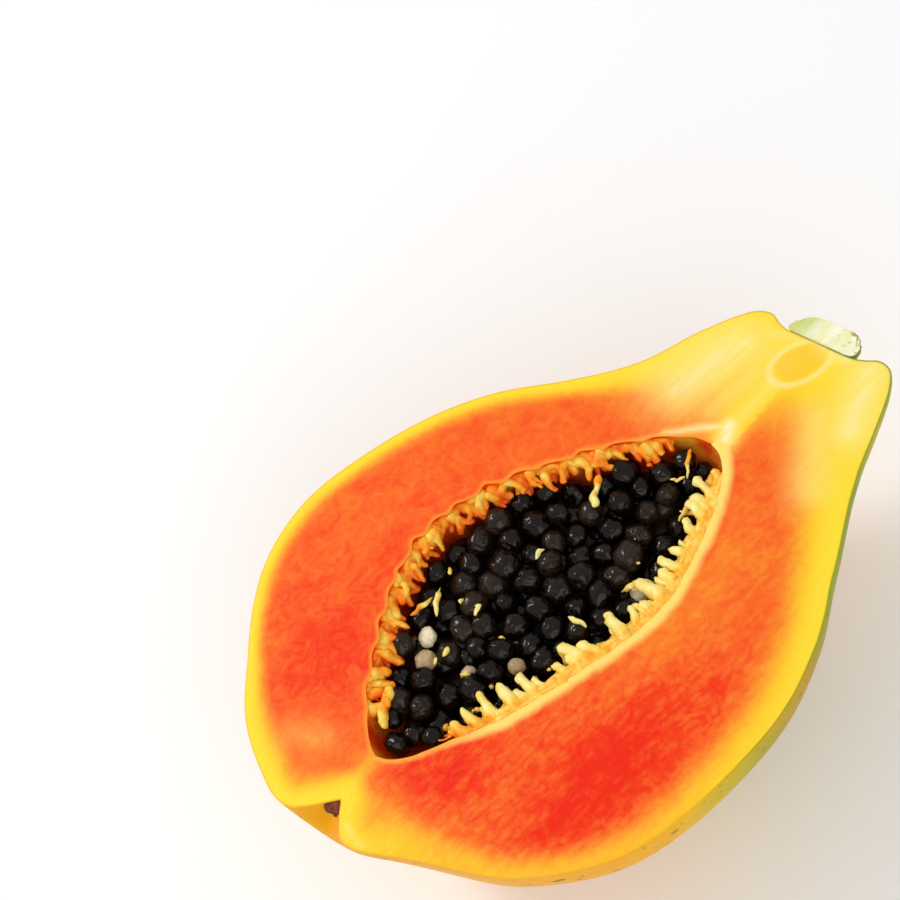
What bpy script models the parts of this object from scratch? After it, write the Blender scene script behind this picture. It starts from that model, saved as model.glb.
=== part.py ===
"""One half of a ripe papaya, cut lengthwise, lying on its skin with the cut face up.

Metres, +Z up. The fruit is drawn round its own axis, which lies along X with the stalk at +X, and the
cut is the plane z = 0. The last step moves all of it so that the origin is on the surface that the
half rests on, under the middle of its box.

Three pieces: the half fruit itself, the heap of seeds that its gel holds together, and the stalk's
stub. They keep a gap of a third of a millimetre or more to each other.
"""

import math
import random

import bmesh
import bpy
import numpy as np
from mathutils import Euler, Vector, noise

MM = 0.001

# The whole fruit, before the cut: places along its axis and radii there, in mm, from the stalk's seat
# over the shoulder, the neck and the belly into the dimple at the blossom end.
OUTLINE = [
    (77.2, 0.0),
    (77.3, 8.4),
    (78.1, 11.0),
    (79.4, 13.6),
    (78.6, 16.8),
    (75.0, 19.8),
    (66.0, 24.2),
    (51.0, 30.6),
    (36.0, 40.2),
    (22.0, 50.2),
    (6.0, 57.2),
    (-12.0, 60.6),
    (-28.0, 60.9),
    (-44.0, 56.8),
    (-58.0, 47.4),
    (-70.0, 34.6),
    (-78.6, 19.8),
    (-82.4, 11.6),
    (-82.4, 7.4),
    (-79.0, 3.6),
    (-74.4, 0.0),
]
OUTLINE_STEPS = 2  # points made for each stretch of the outline
SKIN_SIDES = 30  # facets round the half
FLANK = 1.12  # 1 is a round section; more makes the flanks below the cut leaner
LOBES = 5  # the fruit's faint long ribs
LOBE_DEPTH = 0.012  # of the radius
REST_CUT = 2.2 * MM  # how deep the flat spot under the belly is

# A papaya is never quite straight. Its ends lean to one side, and its axis bows this way and that:
# (place, reach, push towards +Y), in mm.
LEAN = 0.12
STALK_LEAN = (58.0, 78.0, 0.18)  # from here to here, in mm, it leans this much more
BLOSSOM_LEAN = (62.0, 80.0, 0.12)  # the same, towards -X
BOWS = [(-25.0, 22.0, 1.6), (45.0, 18.0, -2.4), (80.0, 12.0, 1.1)]

# The hollow that holds the seeds: places along the axis and half widths at the cut, in mm.
HOLLOW = [
    (43.4, 0.0),
    (42.4, 3.6),
    (38.6, 8.2),
    (30.0, 14.4),
    (20.0, 19.6),
    (8.0, 24.8),
    (-6.0, 26.8),
    (-20.0, 25.2),
    (-34.0, 20.4),
    (-47.0, 13.4),
    (-56.0, 7.4),
    (-60.6, 2.8),
    (-61.8, 0.0),
]
HOLLOW_STEPS = 5
HOLLOW_SIDES = 36
HOLLOW_WIDE = 26.8  # mm, the widest of those
HOLLOW_DEEP = 24.5  # mm, where it is widest
HOLLOW_ENDS = 0.7  # 1 makes the depth follow the width; less makes the ends deeper
HOLLOW_WALL = 0.75  # 1 is a round section; less makes the wall drop more steeply from the cut
HOLLOW_SHIFT = 3.8  # mm that its middle lies towards +Y all along
HOLLOW_BOW = (-14.0, 24.0, 3.2)  # place, reach, and how much further it lies there, in mm
HOLLOW_TUCK = (48.0, 62.0, 2.0)  # from here to here towards -X it comes back by this much, in mm
POCKET = 6.8  # mm from one pocket in the wall to the next
POCKET_DEPTH = 1.7  # mm
POCKET_FADE = (0.1, 0.75)  # of a quarter turn below the cut, from where to where the pockets end
POCKET_WIDTHS = (2.0, 9.0)  # mm of half width, over which they set in from the hollow's tips
POCKET_DRIFT = (2.4, 9.0)  # mm that they wander along the wall, and over what length
POCKET_SHAPE = 0.7  # 1 makes pockets and ridges alike; less makes the ridges narrower
PLAIN_SIDE = 0.2  # how deep the pockets on the -Y wall are, as a share of the others

# Threads of pulp that stand in from the wall on the -Y side.
THREADS = 24
THREAD_ENDS = (-44.0, 33.0)  # mm, the places of the first and the last
THREAD_STRAY = 0.3  # how far one may be from its even place, as a share of the space between two
THREAD_LENGTH = (4.0, 7.2)  # mm, clear of the wall
THREAD_SIDEWAYS = 2.6  # mm that a tip may lie to either side of the root
THREAD_BEND = (0.9, 0.4)  # mm that the middle is off the straight line, to a side and upwards
THREAD_ROOT = 2.5  # mm of it inside the wall
THREAD_ROOT_DROP = (2.1, 2.9)  # mm from the cut down to the root
THREAD_TIP_DROP = (1.4, 2.6)
THREAD_RADIUS = (1.6, 1.0)  # mm, at the root and at the tip
THREAD_SIZES = (0.85, 1.15)
THREAD_SEED = 4

SEED_LONG = 3.85  # mm, half of a seed's length
SEED_WIDE = 3.55
SEED_SIDES = 7
SEED_RINGS = 5
SEED_SIZES = (0.86, 1.06)
SEED_LAYERS = [(0.0, 2.2), (1.8, 4.4), (4.0, 6.2)]  # mm that each layer lies below the highest seeds
SEED_CLOSE = 0.88  # how near two seeds come, as a share of their radii
SEED_TOUCH = 0.3  # mm that each is pressed into another or into the core
SEED_TRIES = 6000
SEED_WALL = 0.6  # mm kept to the wall
HEAP_TOP = 1.0  # mm from the cut down to the highest seeds
HEAP_DEEPEST = 7.6  # mm down to the top of the lowest that show
HEAP_FALL = 1.6  # mm that the heap is lower along the +Y wall
THREAD_FALL = 4.2  # mm that it is lower under the threads
THREAD_REACH = (6.0, 11.0)  # mm from the -Y wall, over which it rises again
SEED_DRAW = 11
CORE_TOP = 9.4  # mm below the cut
CORE_WALL = 1.0  # mm from the core to the wall
CORE_TIP = (2.5, 0.6)  # mm: the half width of the hollow where the core ends, and its last point's reach
CORE_COARSE = 3  # every third point of the hollow's line is enough for it

STUB = [(77.6, 0.0), (77.7, 7.9), (79.6, 8.1), (81.7, 7.2), (83.0, 5.4), (83.6, 2.6), (83.4, 0.0)]
STUB_SIDES = 16
STUB_FLUTE = 0.35  # mm
STUB_FLUTES = 7
STUB_FLUTED = (2.0, 7.0)  # mm of radius, over which the flutes set in

ON_AXIS = 0.01  # mm
SHARP = math.radians(35.0)


def between(low, high, value):
    """0 at low, 1 at high, and smooth on the way."""
    t = min(max((value - low) / (high - low), 0.0), 1.0)
    return t * t * (3.0 - 2.0 * t)


def bump(x, place, reach, height):
    """A soft rise of this height round a place."""
    return height * math.exp(-(((x - place) / reach) ** 2))


def grown_by(x, start, end, amount):
    """Nothing before the start and the whole amount after the end."""
    return amount * between(start, end, x)


def smooth_line(points, steps):
    """A centripetal curve through (place, radius) points, with this many points a stretch."""
    pts = [Vector(p) for p in points]
    pts = [2 * pts[0] - pts[1]] + pts + [2 * pts[-1] - pts[-2]]
    line = []
    for a, b, c, d in zip(pts, pts[1:], pts[2:], pts[3:]):
        t1 = (b - a).length ** 0.5
        t2 = t1 + (c - b).length ** 0.5
        t3 = t2 + (d - c).length ** 0.5
        for k in range(steps):
            t = t1 + (t2 - t1) * k / steps
            ab = a.lerp(b, t / t1)
            bc = b.lerp(c, (t - t1) / (t2 - t1))
            cd = c.lerp(d, (t - t2) / (t3 - t2))
            left = ab.lerp(bc, t / t2)
            right = bc.lerp(cd, (t - t1) / (t3 - t1))
            line.append(left.lerp(right, (t - t1) / (t2 - t1)))
    line.append(Vector(points[-1]))
    return [(p.x, max(p.y, 0.0)) for p in line]


def width_of(line, x):
    """The half width, in mm, that a line of (place, radius) points has at a place."""
    for (x0, r0), (x1, r1) in zip(line, line[1:]):
        if x1 <= x <= x0:
            return r0 + (r1 - r0) * (x0 - x) / (x0 - x1) if x0 > x1 else r0
    return 0.0


def as_grown(p):
    """Where a point of the straight, upright fruit lies in the real one. Millimetres."""
    x, y, z = p
    shift = sum(bump(x, *bow) for bow in BOWS)
    lean = LEAN + grown_by(x, *STALK_LEAN) + grown_by(-x, *BLOSSOM_LEAN)
    return Vector((x - lean * y, y + shift, z))


def hollow_middle(x):
    """How far towards +Y the middle of the hollow lies at a place, in mm."""
    return HOLLOW_SHIFT + bump(x, *HOLLOW_BOW) - grown_by(-x, *HOLLOW_TUCK)


def full_depth(width):
    """How deep the hollow is, in mm, where it has this half width."""
    return HOLLOW_DEEP * (width / HOLLOW_WIDE) ** HOLLOW_ENDS


def hollow_depth(width, z):
    """How far down the wall is where a round hollow of this half width would have the depth z."""
    return full_depth(width) * (z / width) ** HOLLOW_WALL


def collection(name):
    made = bpy.data.collections.new(name)
    bpy.context.scene.collection.children.link(made)
    return made


def add_object(name, mesh, group):
    made = bpy.data.objects.new(name, mesh)
    group.objects.link(made)
    return made


def settle(obj):
    """Turns an object's modifiers, or a curve's bevel, into plain mesh."""
    bpy.context.view_layer.update()
    seen = obj.evaluated_get(bpy.context.evaluated_depsgraph_get())
    mesh = bpy.data.meshes.new_from_object(seen)
    mesh.name = obj.name
    obj.modifiers.clear()
    if obj.type == "MESH":
        obj.data = mesh
        return obj
    place, group, name = obj.matrix_world.copy(), obj.users_collection[0], obj.name
    bpy.data.objects.remove(obj)
    made = add_object(name, mesh, group)
    made.matrix_world = place
    return made


def turned(name, line, angle, sides, group):
    """A surface turned about X from (place, radius) points in mm, its ends on the axis."""
    mesh = bpy.data.meshes.new(name)
    edges = [(i, i + 1) for i in range(len(line) - 1)]
    mesh.from_pydata([(x * MM, r * MM, 0.0) for x, r in line], edges, [])
    body = add_object(name, mesh, group)
    screw = body.modifiers.new("turn", "SCREW")
    screw.axis = "X"
    screw.angle = angle
    screw.steps = screw.render_steps = sides
    screw.use_merge_vertices = True
    screw.merge_threshold = 0.00001
    return settle(body)


def reshape(obj, move):
    """Closes a turned surface with flat faces and moves its points by a rule in mm."""
    bm = bmesh.new()
    bm.from_mesh(obj.data)
    bmesh.ops.remove_doubles(bm, verts=bm.verts, dist=0.00002)
    open_edges = [e for e in bm.edges if e.is_boundary]
    if open_edges:
        bmesh.ops.contextual_create(bm, geom=open_edges)
    for v in bm.verts:
        v.co = move(v.co / MM) * MM
    bmesh.ops.recalc_face_normals(bm, faces=bm.faces)
    bm.to_mesh(obj.data)
    bm.free()


def slice_off(obj, height, keep_above):
    """Cuts the body level at a height, in m, and closes it with a flat face."""
    bm = bmesh.new()
    bm.from_mesh(obj.data)
    everything = bm.verts[:] + bm.edges[:] + bm.faces[:]
    bmesh.ops.bisect_plane(
        bm,
        geom=everything,
        dist=0.000001,
        plane_co=(0.0, 0.0, height),
        plane_no=(0.0, 0.0, 1.0),
        clear_inner=keep_above,
        clear_outer=not keep_above,
    )
    bmesh.ops.contextual_create(bm, geom=[e for e in bm.edges if e.is_boundary])
    bmesh.ops.recalc_face_normals(bm, faces=bm.faces)
    bm.to_mesh(obj.data)
    bm.free()


def combine(obj, other, operation):
    """A Boolean with one object, or with all objects of a collection, which are then removed."""
    cut = obj.modifiers.new("combine", "BOOLEAN")
    cut.operation = operation
    cut.solver = "EXACT"
    if isinstance(other, bpy.types.Collection):
        cut.operand_type = "COLLECTION"
        cut.collection = other
        used = list(other.objects)
    else:
        cut.object = other
        used = [other]
    settle(obj)
    for each in used:
        bpy.data.objects.remove(each)


def plain_material(name, colour, roughness):
    made = bpy.data.materials.new(name)
    made.use_nodes = True
    shader = made.node_tree.nodes["Principled BSDF"]
    shader.inputs["Base Color"].default_value = (*colour, 1.0)
    shader.inputs["Roughness"].default_value = roughness
    shader.inputs["Metallic"].default_value = 0.0
    return made


def skin_point(p):
    """The round, straight fruit made faintly ribbed, lean in the flank and lopsided."""
    x, y, z = p
    radius = math.hypot(y, z)
    if abs(z) < ON_AXIS or radius < ON_AXIS:
        return as_grown((x, y, 0.0))
    turn = math.atan2(-z, y)
    rib = 1.0 + LOBE_DEPTH * math.sin(LOBES * turn) * math.sin(turn)
    down = radius * (-z / radius) ** FLANK
    return as_grown((x, y * rib, -down * rib))


def hollow_point(p):
    """The turned hollow made shallower, bowed, and dented with pockets on its +Y wall."""
    x, y, z = p
    width = math.hypot(y, z)
    if width < ON_AXIS:
        return as_grown((x, hollow_middle(x), 0.0))
    side = 1.0 if y > 0.0 else PLAIN_SIDE
    drift = POCKET_DRIFT[0] * noise.noise(Vector((x / POCKET_DRIFT[1], 0.0, side)))
    wave = 0.5 - 0.5 * math.cos(math.tau * (x + drift) / POCKET)
    below = abs(math.atan2(z, abs(y))) / (math.pi / 2)
    here = (1.0 - between(*POCKET_FADE, below)) * between(*POCKET_WIDTHS, width)
    grow = 1.0 + POCKET_DEPTH * side * wave**POCKET_SHAPE * here / width
    depth = math.copysign(hollow_depth(width, abs(z)), z)
    return as_grown((x, hollow_middle(x) + y * grow, depth * grow))


def thread_path(x, draw):
    """Points and radii of one thread of pulp at a place along the wall, in mm."""
    wall = hollow_middle(x) - width_of(hollow_line, x)
    length = draw.uniform(*THREAD_LENGTH)
    sideways = draw.uniform(-THREAD_SIDEWAYS, THREAD_SIDEWAYS)
    start = Vector((x, wall - THREAD_ROOT, -draw.uniform(*THREAD_ROOT_DROP)))
    tip = Vector((x + sideways, wall + length, -draw.uniform(*THREAD_TIP_DROP)))
    aside, up = THREAD_BEND
    middle = start.lerp(tip, 0.5) + Vector((draw.uniform(-aside, aside), 0.0, up))
    size = draw.uniform(*THREAD_SIZES)
    thick, thin = THREAD_RADIUS
    places = [start, start.lerp(middle, 0.6), middle, tip]
    return list(zip(places, [thick * size, thick * size, (thick + thin) / 2 * size, thin * size]))


def add_threads(group):
    """One closed six-sided tube for each thread."""
    draw = random.Random(THREAD_SEED)
    low, high = THREAD_ENDS
    for i in range(THREADS):
        stray = draw.uniform(-THREAD_STRAY, THREAD_STRAY)
        x = low + (high - low) * (i + stray) / (THREADS - 1)
        curve = bpy.data.curves.new(f"thread_{i}", "CURVE")
        curve.dimensions = "3D"
        curve.bevel_depth = MM
        curve.bevel_resolution = 1
        curve.use_fill_caps = True
        spline = curve.splines.new("POLY")
        path = thread_path(x, draw)
        spline.points.add(len(path) - 1)
        for point, (place, radius) in zip(spline.points, path):
            point.co = (*(as_grown(place) * MM), 1.0)
            point.radius = radius
        thread = settle(add_object(f"thread_{i}", curve, group))
        reshape(thread, lambda p: p)


def heap_places():
    """Where the seeds lie: (centre in mm, size, turn), upper layers first, each draw seeded.

    Each new seed goes where it lies closest to the wall and to those already there.
    """
    draw = np.random.default_rng(SEED_DRAW)
    line = np.array(hollow_line[::-1])
    middle_at = np.vectorize(hollow_middle)
    places, sizes = np.empty((0, 3)), np.empty(0)
    for least, most in SEED_LAYERS:
        while True:
            x = draw.uniform(line[0, 0], line[-1, 0], SEED_TRIES)
            across = draw.uniform(-1.0, 1.0, SEED_TRIES)
            size = draw.uniform(*SEED_SIZES, SEED_TRIES)
            drop = draw.uniform(least, most, SEED_TRIES)
            width = np.interp(x, *line.T)
            slope = np.interp(x + 1.0, *line.T) - np.interp(x - 1.0, *line.T)
            from_threads = np.clip((1.0 + across) * width, *THREAD_REACH) - THREAD_REACH[0]
            under = 1.0 - from_threads / (THREAD_REACH[1] - THREAD_REACH[0])
            fall = np.where(across > 0.0, HEAP_FALL * across**2, THREAD_FALL * under)
            z = np.minimum(HEAP_TOP + fall + drop, HEAP_DEEPEST) + SEED_WIDE * size
            down = (z / full_depth(np.maximum(width, 1.0))) ** (1.0 / HOLLOW_WALL)
            room = width * (1.0 - np.hypot(across, down)) / np.hypot(1.0, slope / 2.0)
            room -= SEED_LONG * size + SEED_WALL
            place = np.stack([x, middle_at(x) + across * width, -z], axis=1)
            away = np.linalg.norm(place[:, None] - places, axis=2)
            radii = SEED_WIDE * (size[:, None] + sizes)
            gaps = np.hstack([room[:, None], away - SEED_CLOSE * radii])
            held = z + SEED_WIDE * size > CORE_TOP + SEED_TOUCH
            if len(places):
                held |= (away - radii).min(axis=1) < -SEED_TOUCH
            else:
                held[:] = True
            fits = held & (gaps.min(axis=1) >= 0.0)
            if not fits.any():
                break
            score = np.sort(gaps, axis=1)[:, :3].sum(axis=1)
            best = np.argmin(np.where(fits, score, np.inf))
            places = np.vstack([places, place[best]])
            sizes = np.append(sizes, size[best])
    turns = draw.uniform(0.0, math.tau, (len(places), 3))
    return [(Vector(p), s, Euler(t)) for p, s, t in zip(places, sizes, turns)]


def add_seeds(group):
    for i, (place, size, turn) in enumerate(heap_places()):
        mesh = bpy.data.meshes.new(f"seed_{i}")
        bm = bmesh.new()
        bmesh.ops.create_uvsphere(bm, u_segments=SEED_SIDES, v_segments=SEED_RINGS, radius=1.0)
        bmesh.ops.scale(bm, vec=(SEED_WIDE, SEED_WIDE, SEED_LONG), verts=bm.verts)
        bmesh.ops.scale(bm, vec=(size * MM,) * 3, verts=bm.verts)
        bmesh.ops.rotate(bm, matrix=turn.to_matrix(), verts=bm.verts)
        bmesh.ops.translate(bm, vec=as_grown(place) * MM, verts=bm.verts)
        bm.to_mesh(mesh)
        bm.free()
        add_object(f"seed_{i}", mesh, group)


def make_half(parts, cutters):
    """The fruit itself: turned, grown lopsided, hollowed, with its threads of pulp."""
    line = smooth_line(OUTLINE, OUTLINE_STEPS)
    half = turned("fruit_half", line, -math.pi, SKIN_SIDES, parts)
    reshape(half, skin_point)
    lowest = min(v.co.z for v in half.data.vertices)
    slice_off(half, lowest + REST_CUT, keep_above=True)
    hollow = turned("hollow", hollow_line, math.tau, HOLLOW_SIDES, cutters)
    reshape(hollow, hollow_point)
    combine(half, hollow, "DIFFERENCE")
    add_threads(cutters)
    combine(half, cutters, "UNION")
    half.data.materials.clear()
    half.data.materials.append(plain_material("flesh and skin", (0.90, 0.20, 0.03), 0.45))
    return half


def core_point(p):
    x, y, z = p
    width = math.hypot(y, z)
    if width < ON_AXIS:
        return as_grown((x, hollow_middle(x), 0.0))
    depth = math.copysign(hollow_depth(width, abs(z)), z)
    return as_grown((x, hollow_middle(x) + y, depth))


def make_seeds(parts, cutters):
    """The heap: a core that fills the hollow's bottom, and the seeds that stand out of it."""
    narrow, reach = CORE_TIP
    line = [(x, r - CORE_WALL) for x, r in hollow_line if r > narrow]
    line = [(line[0][0] + reach, 0.0)] + line[::CORE_COARSE] + [(line[-1][0] - reach, 0.0)]
    core = turned("seeds", line, math.tau, HOLLOW_SIDES // 2, parts)
    reshape(core, core_point)
    slice_off(core, -CORE_TOP * MM, keep_above=False)
    add_seeds(cutters)
    combine(core, cutters, "UNION")
    core.data.materials.clear()
    core.data.materials.append(plain_material("seed coat", (0.012, 0.011, 0.012), 0.25))
    return core


def stub_point(p):
    x, y, z = p
    radius = math.hypot(y, z)
    if abs(z) < ON_AXIS or radius < ON_AXIS:
        return as_grown((x, y, 0.0))
    flute = STUB_FLUTE * math.cos(STUB_FLUTES * math.atan2(z, y)) * between(*STUB_FLUTED, radius)
    return as_grown((x, y * (1.0 + flute / radius), z * (1.0 + flute / radius)))


def make_stub(parts):
    """The end of the stalk, cut through with the fruit."""
    stub = turned("stem_stub", smooth_line(STUB, 2), -math.pi, STUB_SIDES, parts)
    reshape(stub, stub_point)
    stub.data.materials.append(plain_material("stalk", (0.62, 0.66, 0.30), 0.7))
    return stub


def stand_on_origin(pieces):
    """Moves the pieces together: the rest face to z = 0, the box's middle over the origin."""
    points = [piece.matrix_world @ v.co for piece in pieces for v in piece.data.vertices]
    low = Vector([min(p[i] for p in points) for i in range(3)])
    high = Vector([max(p[i] for p in points) for i in range(3)])
    middle = (low + high) / 2.0
    for piece in pieces:
        for v in piece.data.vertices:
            v.co -= Vector((middle.x, middle.y, low.z))
        piece.data.shade_smooth()
        piece.data.set_sharp_from_angle(angle=SHARP)
    return middle


for old in list(bpy.data.objects):
    bpy.data.objects.remove(old)
papaya = collection("papaya half")
tools = collection("cutters")
hollow_line = smooth_line(HOLLOW, HOLLOW_STEPS)
pieces = [make_half(papaya, tools), make_seeds(papaya, tools), make_stub(papaya)]
middle = stand_on_origin(pieces)
print("the middle of the box, from the fruit's own axis, in mm:", middle / MM)
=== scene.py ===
# %% [markdown]
# # One half of a ripe papaya, cut lengthwise
#
# The fruit lies on its skin with the cut face up. It has three parts: the half fruit, the heap of
# seeds in its hollow, and the stub of the stalk. The solids that the frame gives have the right size
# and place, and few faces. This lesson puts a finer model of each in their place and gives it the wet,
# warm look of fresh fruit.

import math
import random

import bmesh
import bpy
import numpy as np
from mathutils import Euler, Matrix, Vector, kdtree, noise


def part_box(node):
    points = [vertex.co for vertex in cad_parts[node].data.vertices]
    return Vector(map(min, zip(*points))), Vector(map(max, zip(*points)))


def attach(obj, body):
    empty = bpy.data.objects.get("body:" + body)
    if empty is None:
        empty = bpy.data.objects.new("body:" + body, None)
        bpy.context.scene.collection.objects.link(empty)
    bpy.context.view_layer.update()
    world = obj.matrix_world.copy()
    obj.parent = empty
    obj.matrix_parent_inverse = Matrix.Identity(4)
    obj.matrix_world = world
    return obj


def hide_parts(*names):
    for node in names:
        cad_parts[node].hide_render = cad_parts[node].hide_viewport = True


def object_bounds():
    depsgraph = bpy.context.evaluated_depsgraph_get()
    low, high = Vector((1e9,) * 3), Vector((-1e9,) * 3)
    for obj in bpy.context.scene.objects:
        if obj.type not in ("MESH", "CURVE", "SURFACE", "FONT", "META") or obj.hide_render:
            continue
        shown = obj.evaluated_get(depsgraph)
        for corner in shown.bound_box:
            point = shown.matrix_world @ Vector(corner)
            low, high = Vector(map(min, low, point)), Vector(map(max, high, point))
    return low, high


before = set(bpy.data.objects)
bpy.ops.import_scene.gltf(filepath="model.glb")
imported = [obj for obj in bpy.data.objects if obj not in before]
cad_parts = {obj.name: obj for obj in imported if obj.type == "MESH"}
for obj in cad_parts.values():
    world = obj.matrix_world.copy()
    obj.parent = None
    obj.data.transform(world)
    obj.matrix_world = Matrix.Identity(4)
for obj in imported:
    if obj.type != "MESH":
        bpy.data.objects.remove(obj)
CAD_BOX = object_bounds()
MM = 0.001
FACE_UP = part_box("fruit_half")[1].z  # how high the cut face is, in metres
print("box of the solids, mm:", [[round(c / MM, 1) for c in corner] for corner in CAD_BOX])

# %% [markdown]
# ## How the fruit grows
#
# A papaya is nearly a turned shape: a neck, a belly, and a dimple at the blossom end. It could be
# sculpted by eye, but then the hollow, the skin and the seeds have to be fitted to each other by hand.
# It is simpler to write down one outline for the fruit and one for its hollow, and to bend them by one
# rule. Each outline gives places along the axis and radii there, in millimetres, and the cut is the
# plane z = 0.

# %% Outlines of the fruit, its hollow and its stalk
OUTLINE = [
    (77.2, 0.0),
    (77.3, 8.4),
    (78.1, 11.0),
    (79.4, 13.6),
    (78.6, 16.8),
    (75.0, 19.8),
    (66.0, 24.2),
    (51.0, 30.6),
    (36.0, 40.2),
    (22.0, 50.2),
    (6.0, 57.2),
    (-12.0, 60.6),
    (-28.0, 60.9),
    (-44.0, 56.8),
    (-58.0, 47.4),
    (-70.0, 34.6),
    (-78.6, 19.8),
    (-82.4, 11.6),
    (-82.4, 7.4),
    (-79.0, 3.6),
    (-74.4, 0.0),
]
HOLLOW = [
    (43.4, 0.0),
    (42.4, 3.6),
    (38.6, 8.2),
    (30.0, 14.4),
    (20.0, 19.6),
    (8.0, 24.8),
    (-6.0, 26.8),
    (-20.0, 25.2),
    (-34.0, 20.4),
    (-47.0, 13.4),
    (-56.0, 7.4),
    (-60.6, 2.8),
    (-61.8, 0.0),
]
STUB = [(77.6, 0.0), (77.7, 7.9), (79.6, 8.1), (81.7, 7.2), (83.0, 5.4), (83.6, 2.6), (83.4, 0.0)]


def smooth_line(points, steps):
    """A centripetal curve through (place, radius) points, with this many points a stretch."""
    pts = [Vector(p) for p in points]
    pts = [2 * pts[0] - pts[1]] + pts + [2 * pts[-1] - pts[-2]]
    line = []
    for a, b, c, d in zip(pts, pts[1:], pts[2:], pts[3:]):
        t1 = (b - a).length ** 0.5
        t2 = t1 + (c - b).length ** 0.5
        t3 = t2 + (d - c).length ** 0.5
        for k in range(steps):
            t = t1 + (t2 - t1) * k / steps
            ab = a.lerp(b, t / t1)
            bc = b.lerp(c, (t - t1) / (t2 - t1))
            cd = c.lerp(d, (t - t2) / (t3 - t2))
            line.append(ab.lerp(bc, t / t2).lerp(bc.lerp(cd, (t - t1) / (t3 - t1)), (t - t1) / (t2 - t1)))
    line.append(Vector(points[-1]))
    return [(p.x, max(p.y, 0.0)) for p in line]


def by_length(line):
    """A function that gives (place, radius) at a share, 0 to 1, of a line's length."""
    points = np.array(line)
    steps = np.hypot(*np.diff(points, axis=0).T)
    share = np.concatenate([[0.0], np.cumsum(steps)]) / steps.sum()
    return lambda t: tuple(float(np.interp(t, share, column)) for column in points.T)


skin_line, hollow_line, stub_line = (smooth_line(points, 12) for points in (OUTLINE, HOLLOW, STUB))
print("points on the three lines:", len(skin_line), len(hollow_line), len(stub_line))

# %% [markdown]
# No papaya is straight. Its ends lean to one side, its axis bows this way and that, and its hollow lies
# off the middle. Every piece goes through `as_grown`, so they stay together.


# %% The rule that bends everything
def between(low, high, value):
    """0 at low, 1 at high, and smooth on the way."""
    t = min(max((value - low) / (high - low), 0.0), 1.0)
    return t * t * (3.0 - 2.0 * t)


def rise(x, place, reach, height):
    """A soft rise of this height round a place."""
    return height * math.exp(-(((x - place) / reach) ** 2))


LEAN = 0.12
STALK_LEAN, BLOSSOM_LEAN = (58.0, 78.0, 0.18), (62.0, 80.0, 0.12)  # from, to, how much more
BOWS = [(-25.0, 22.0, 1.6), (45.0, 18.0, -2.4), (80.0, 12.0, 1.1)]  # place, reach, push to +Y


def bow_at(x):
    return sum(rise(x, *bow) for bow in BOWS)


def lean_at(x):
    stalk_lean = STALK_LEAN[2] * between(*STALK_LEAN[:2], x)
    return LEAN + stalk_lean + BLOSSOM_LEAN[2] * between(*BLOSSOM_LEAN[:2], -x)


def as_grown(p):
    """Where a point of the straight fruit lies in the real, lopsided one. Millimetres."""
    x, y, z = p
    return Vector((x - lean_at(x) * y, y + bow_at(x), z))


print("the straight fruit's stalk end comes to", [round(c, 2) for c in as_grown((OUTLINE[0][0], 0.0, 0.0))])

# %% The skin, ribbed and lean in the flank
FLANK = 1.12  # 1 is a round section; more makes the flanks below the cut leaner
LOBES, LOBE_DEPTH = 5, 0.012
ON_AXIS = 0.001  # mm


def skin_point(x, y, z):
    """A point of the turned fruit, in the grown one."""
    radius = math.hypot(y, z)
    if abs(z) < ON_AXIS or radius < ON_AXIS:
        return as_grown((x, y, 0.0))
    turn = math.atan2(-z, y)
    rib = 1.0 + LOBE_DEPTH * math.sin(LOBES * turn) * math.sin(turn)
    return as_grown((x, y * rib, -radius * (-z / radius) ** FLANK * rib))


belly_at, belly = max(OUTLINE, key=lambda point: point[1])
print("the lowest point of the belly, mm:", [round(c, 1) for c in skin_point(belly_at, 0.0, -belly)])

# %% The hollow and the pockets in its wall
HOLLOW_WIDE, HOLLOW_DEEP = 26.8, 24.5  # mm, where it is widest
HOLLOW_ENDS, HOLLOW_WALL = 0.7, 0.75
HOLLOW_SHIFT, HOLLOW_BOW, HOLLOW_TUCK = 3.8, (-14.0, 24.0, 3.2), (48.0, 62.0, 2.0)
POCKET, POCKET_DEPTH, POCKET_SHAPE = 6.8, 1.7, 0.7
POCKET_FADE, POCKET_WIDTHS, POCKET_DRIFT = (0.1, 0.75), (2.0, 9.0), (2.4, 9.0)
PLAIN_SIDE = 0.2  # how deep the pockets on the -Y wall are, as a share of the others
POCKET_UNEVEN, POCKET_LEAST = (0.6, 0.8, 5.0), 0.2  # share of their depth: middle, spread, reach; least
FOLD_DEPTH = 1.0  # mm that the pockets are deeper below the rim than at it
FOLD_RANGE = (0.02, 0.10, 0.30, 0.60)  # of a quarter turn: sets in from, full from, full to, gone at
FOLD_LENGTH, FOLD_TURNS = 1.7, 14.0  # how long a fine lump is, in mm, and lumps a quarter turn


def hollow_middle(x):
    """How far towards +Y the middle of the hollow lies at a place, in mm."""
    return HOLLOW_SHIFT + rise(x, *HOLLOW_BOW) - HOLLOW_TUCK[2] * between(*HOLLOW_TUCK[:2], -x)


def full_depth(width):
    """How deep the hollow is where it has this half width."""
    return HOLLOW_DEEP * (width / HOLLOW_WIDE) ** HOLLOW_ENDS


def pocket_wave(x, side):
    """0 on a ridge of the hollow's wall and 1 in the middle of a pocket."""
    drift = POCKET_DRIFT[0] * noise.noise(Vector((x / POCKET_DRIFT[1], 0.0, side)))
    return 0.5 - 0.5 * math.cos(math.tau * (x + drift) / POCKET)


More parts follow.
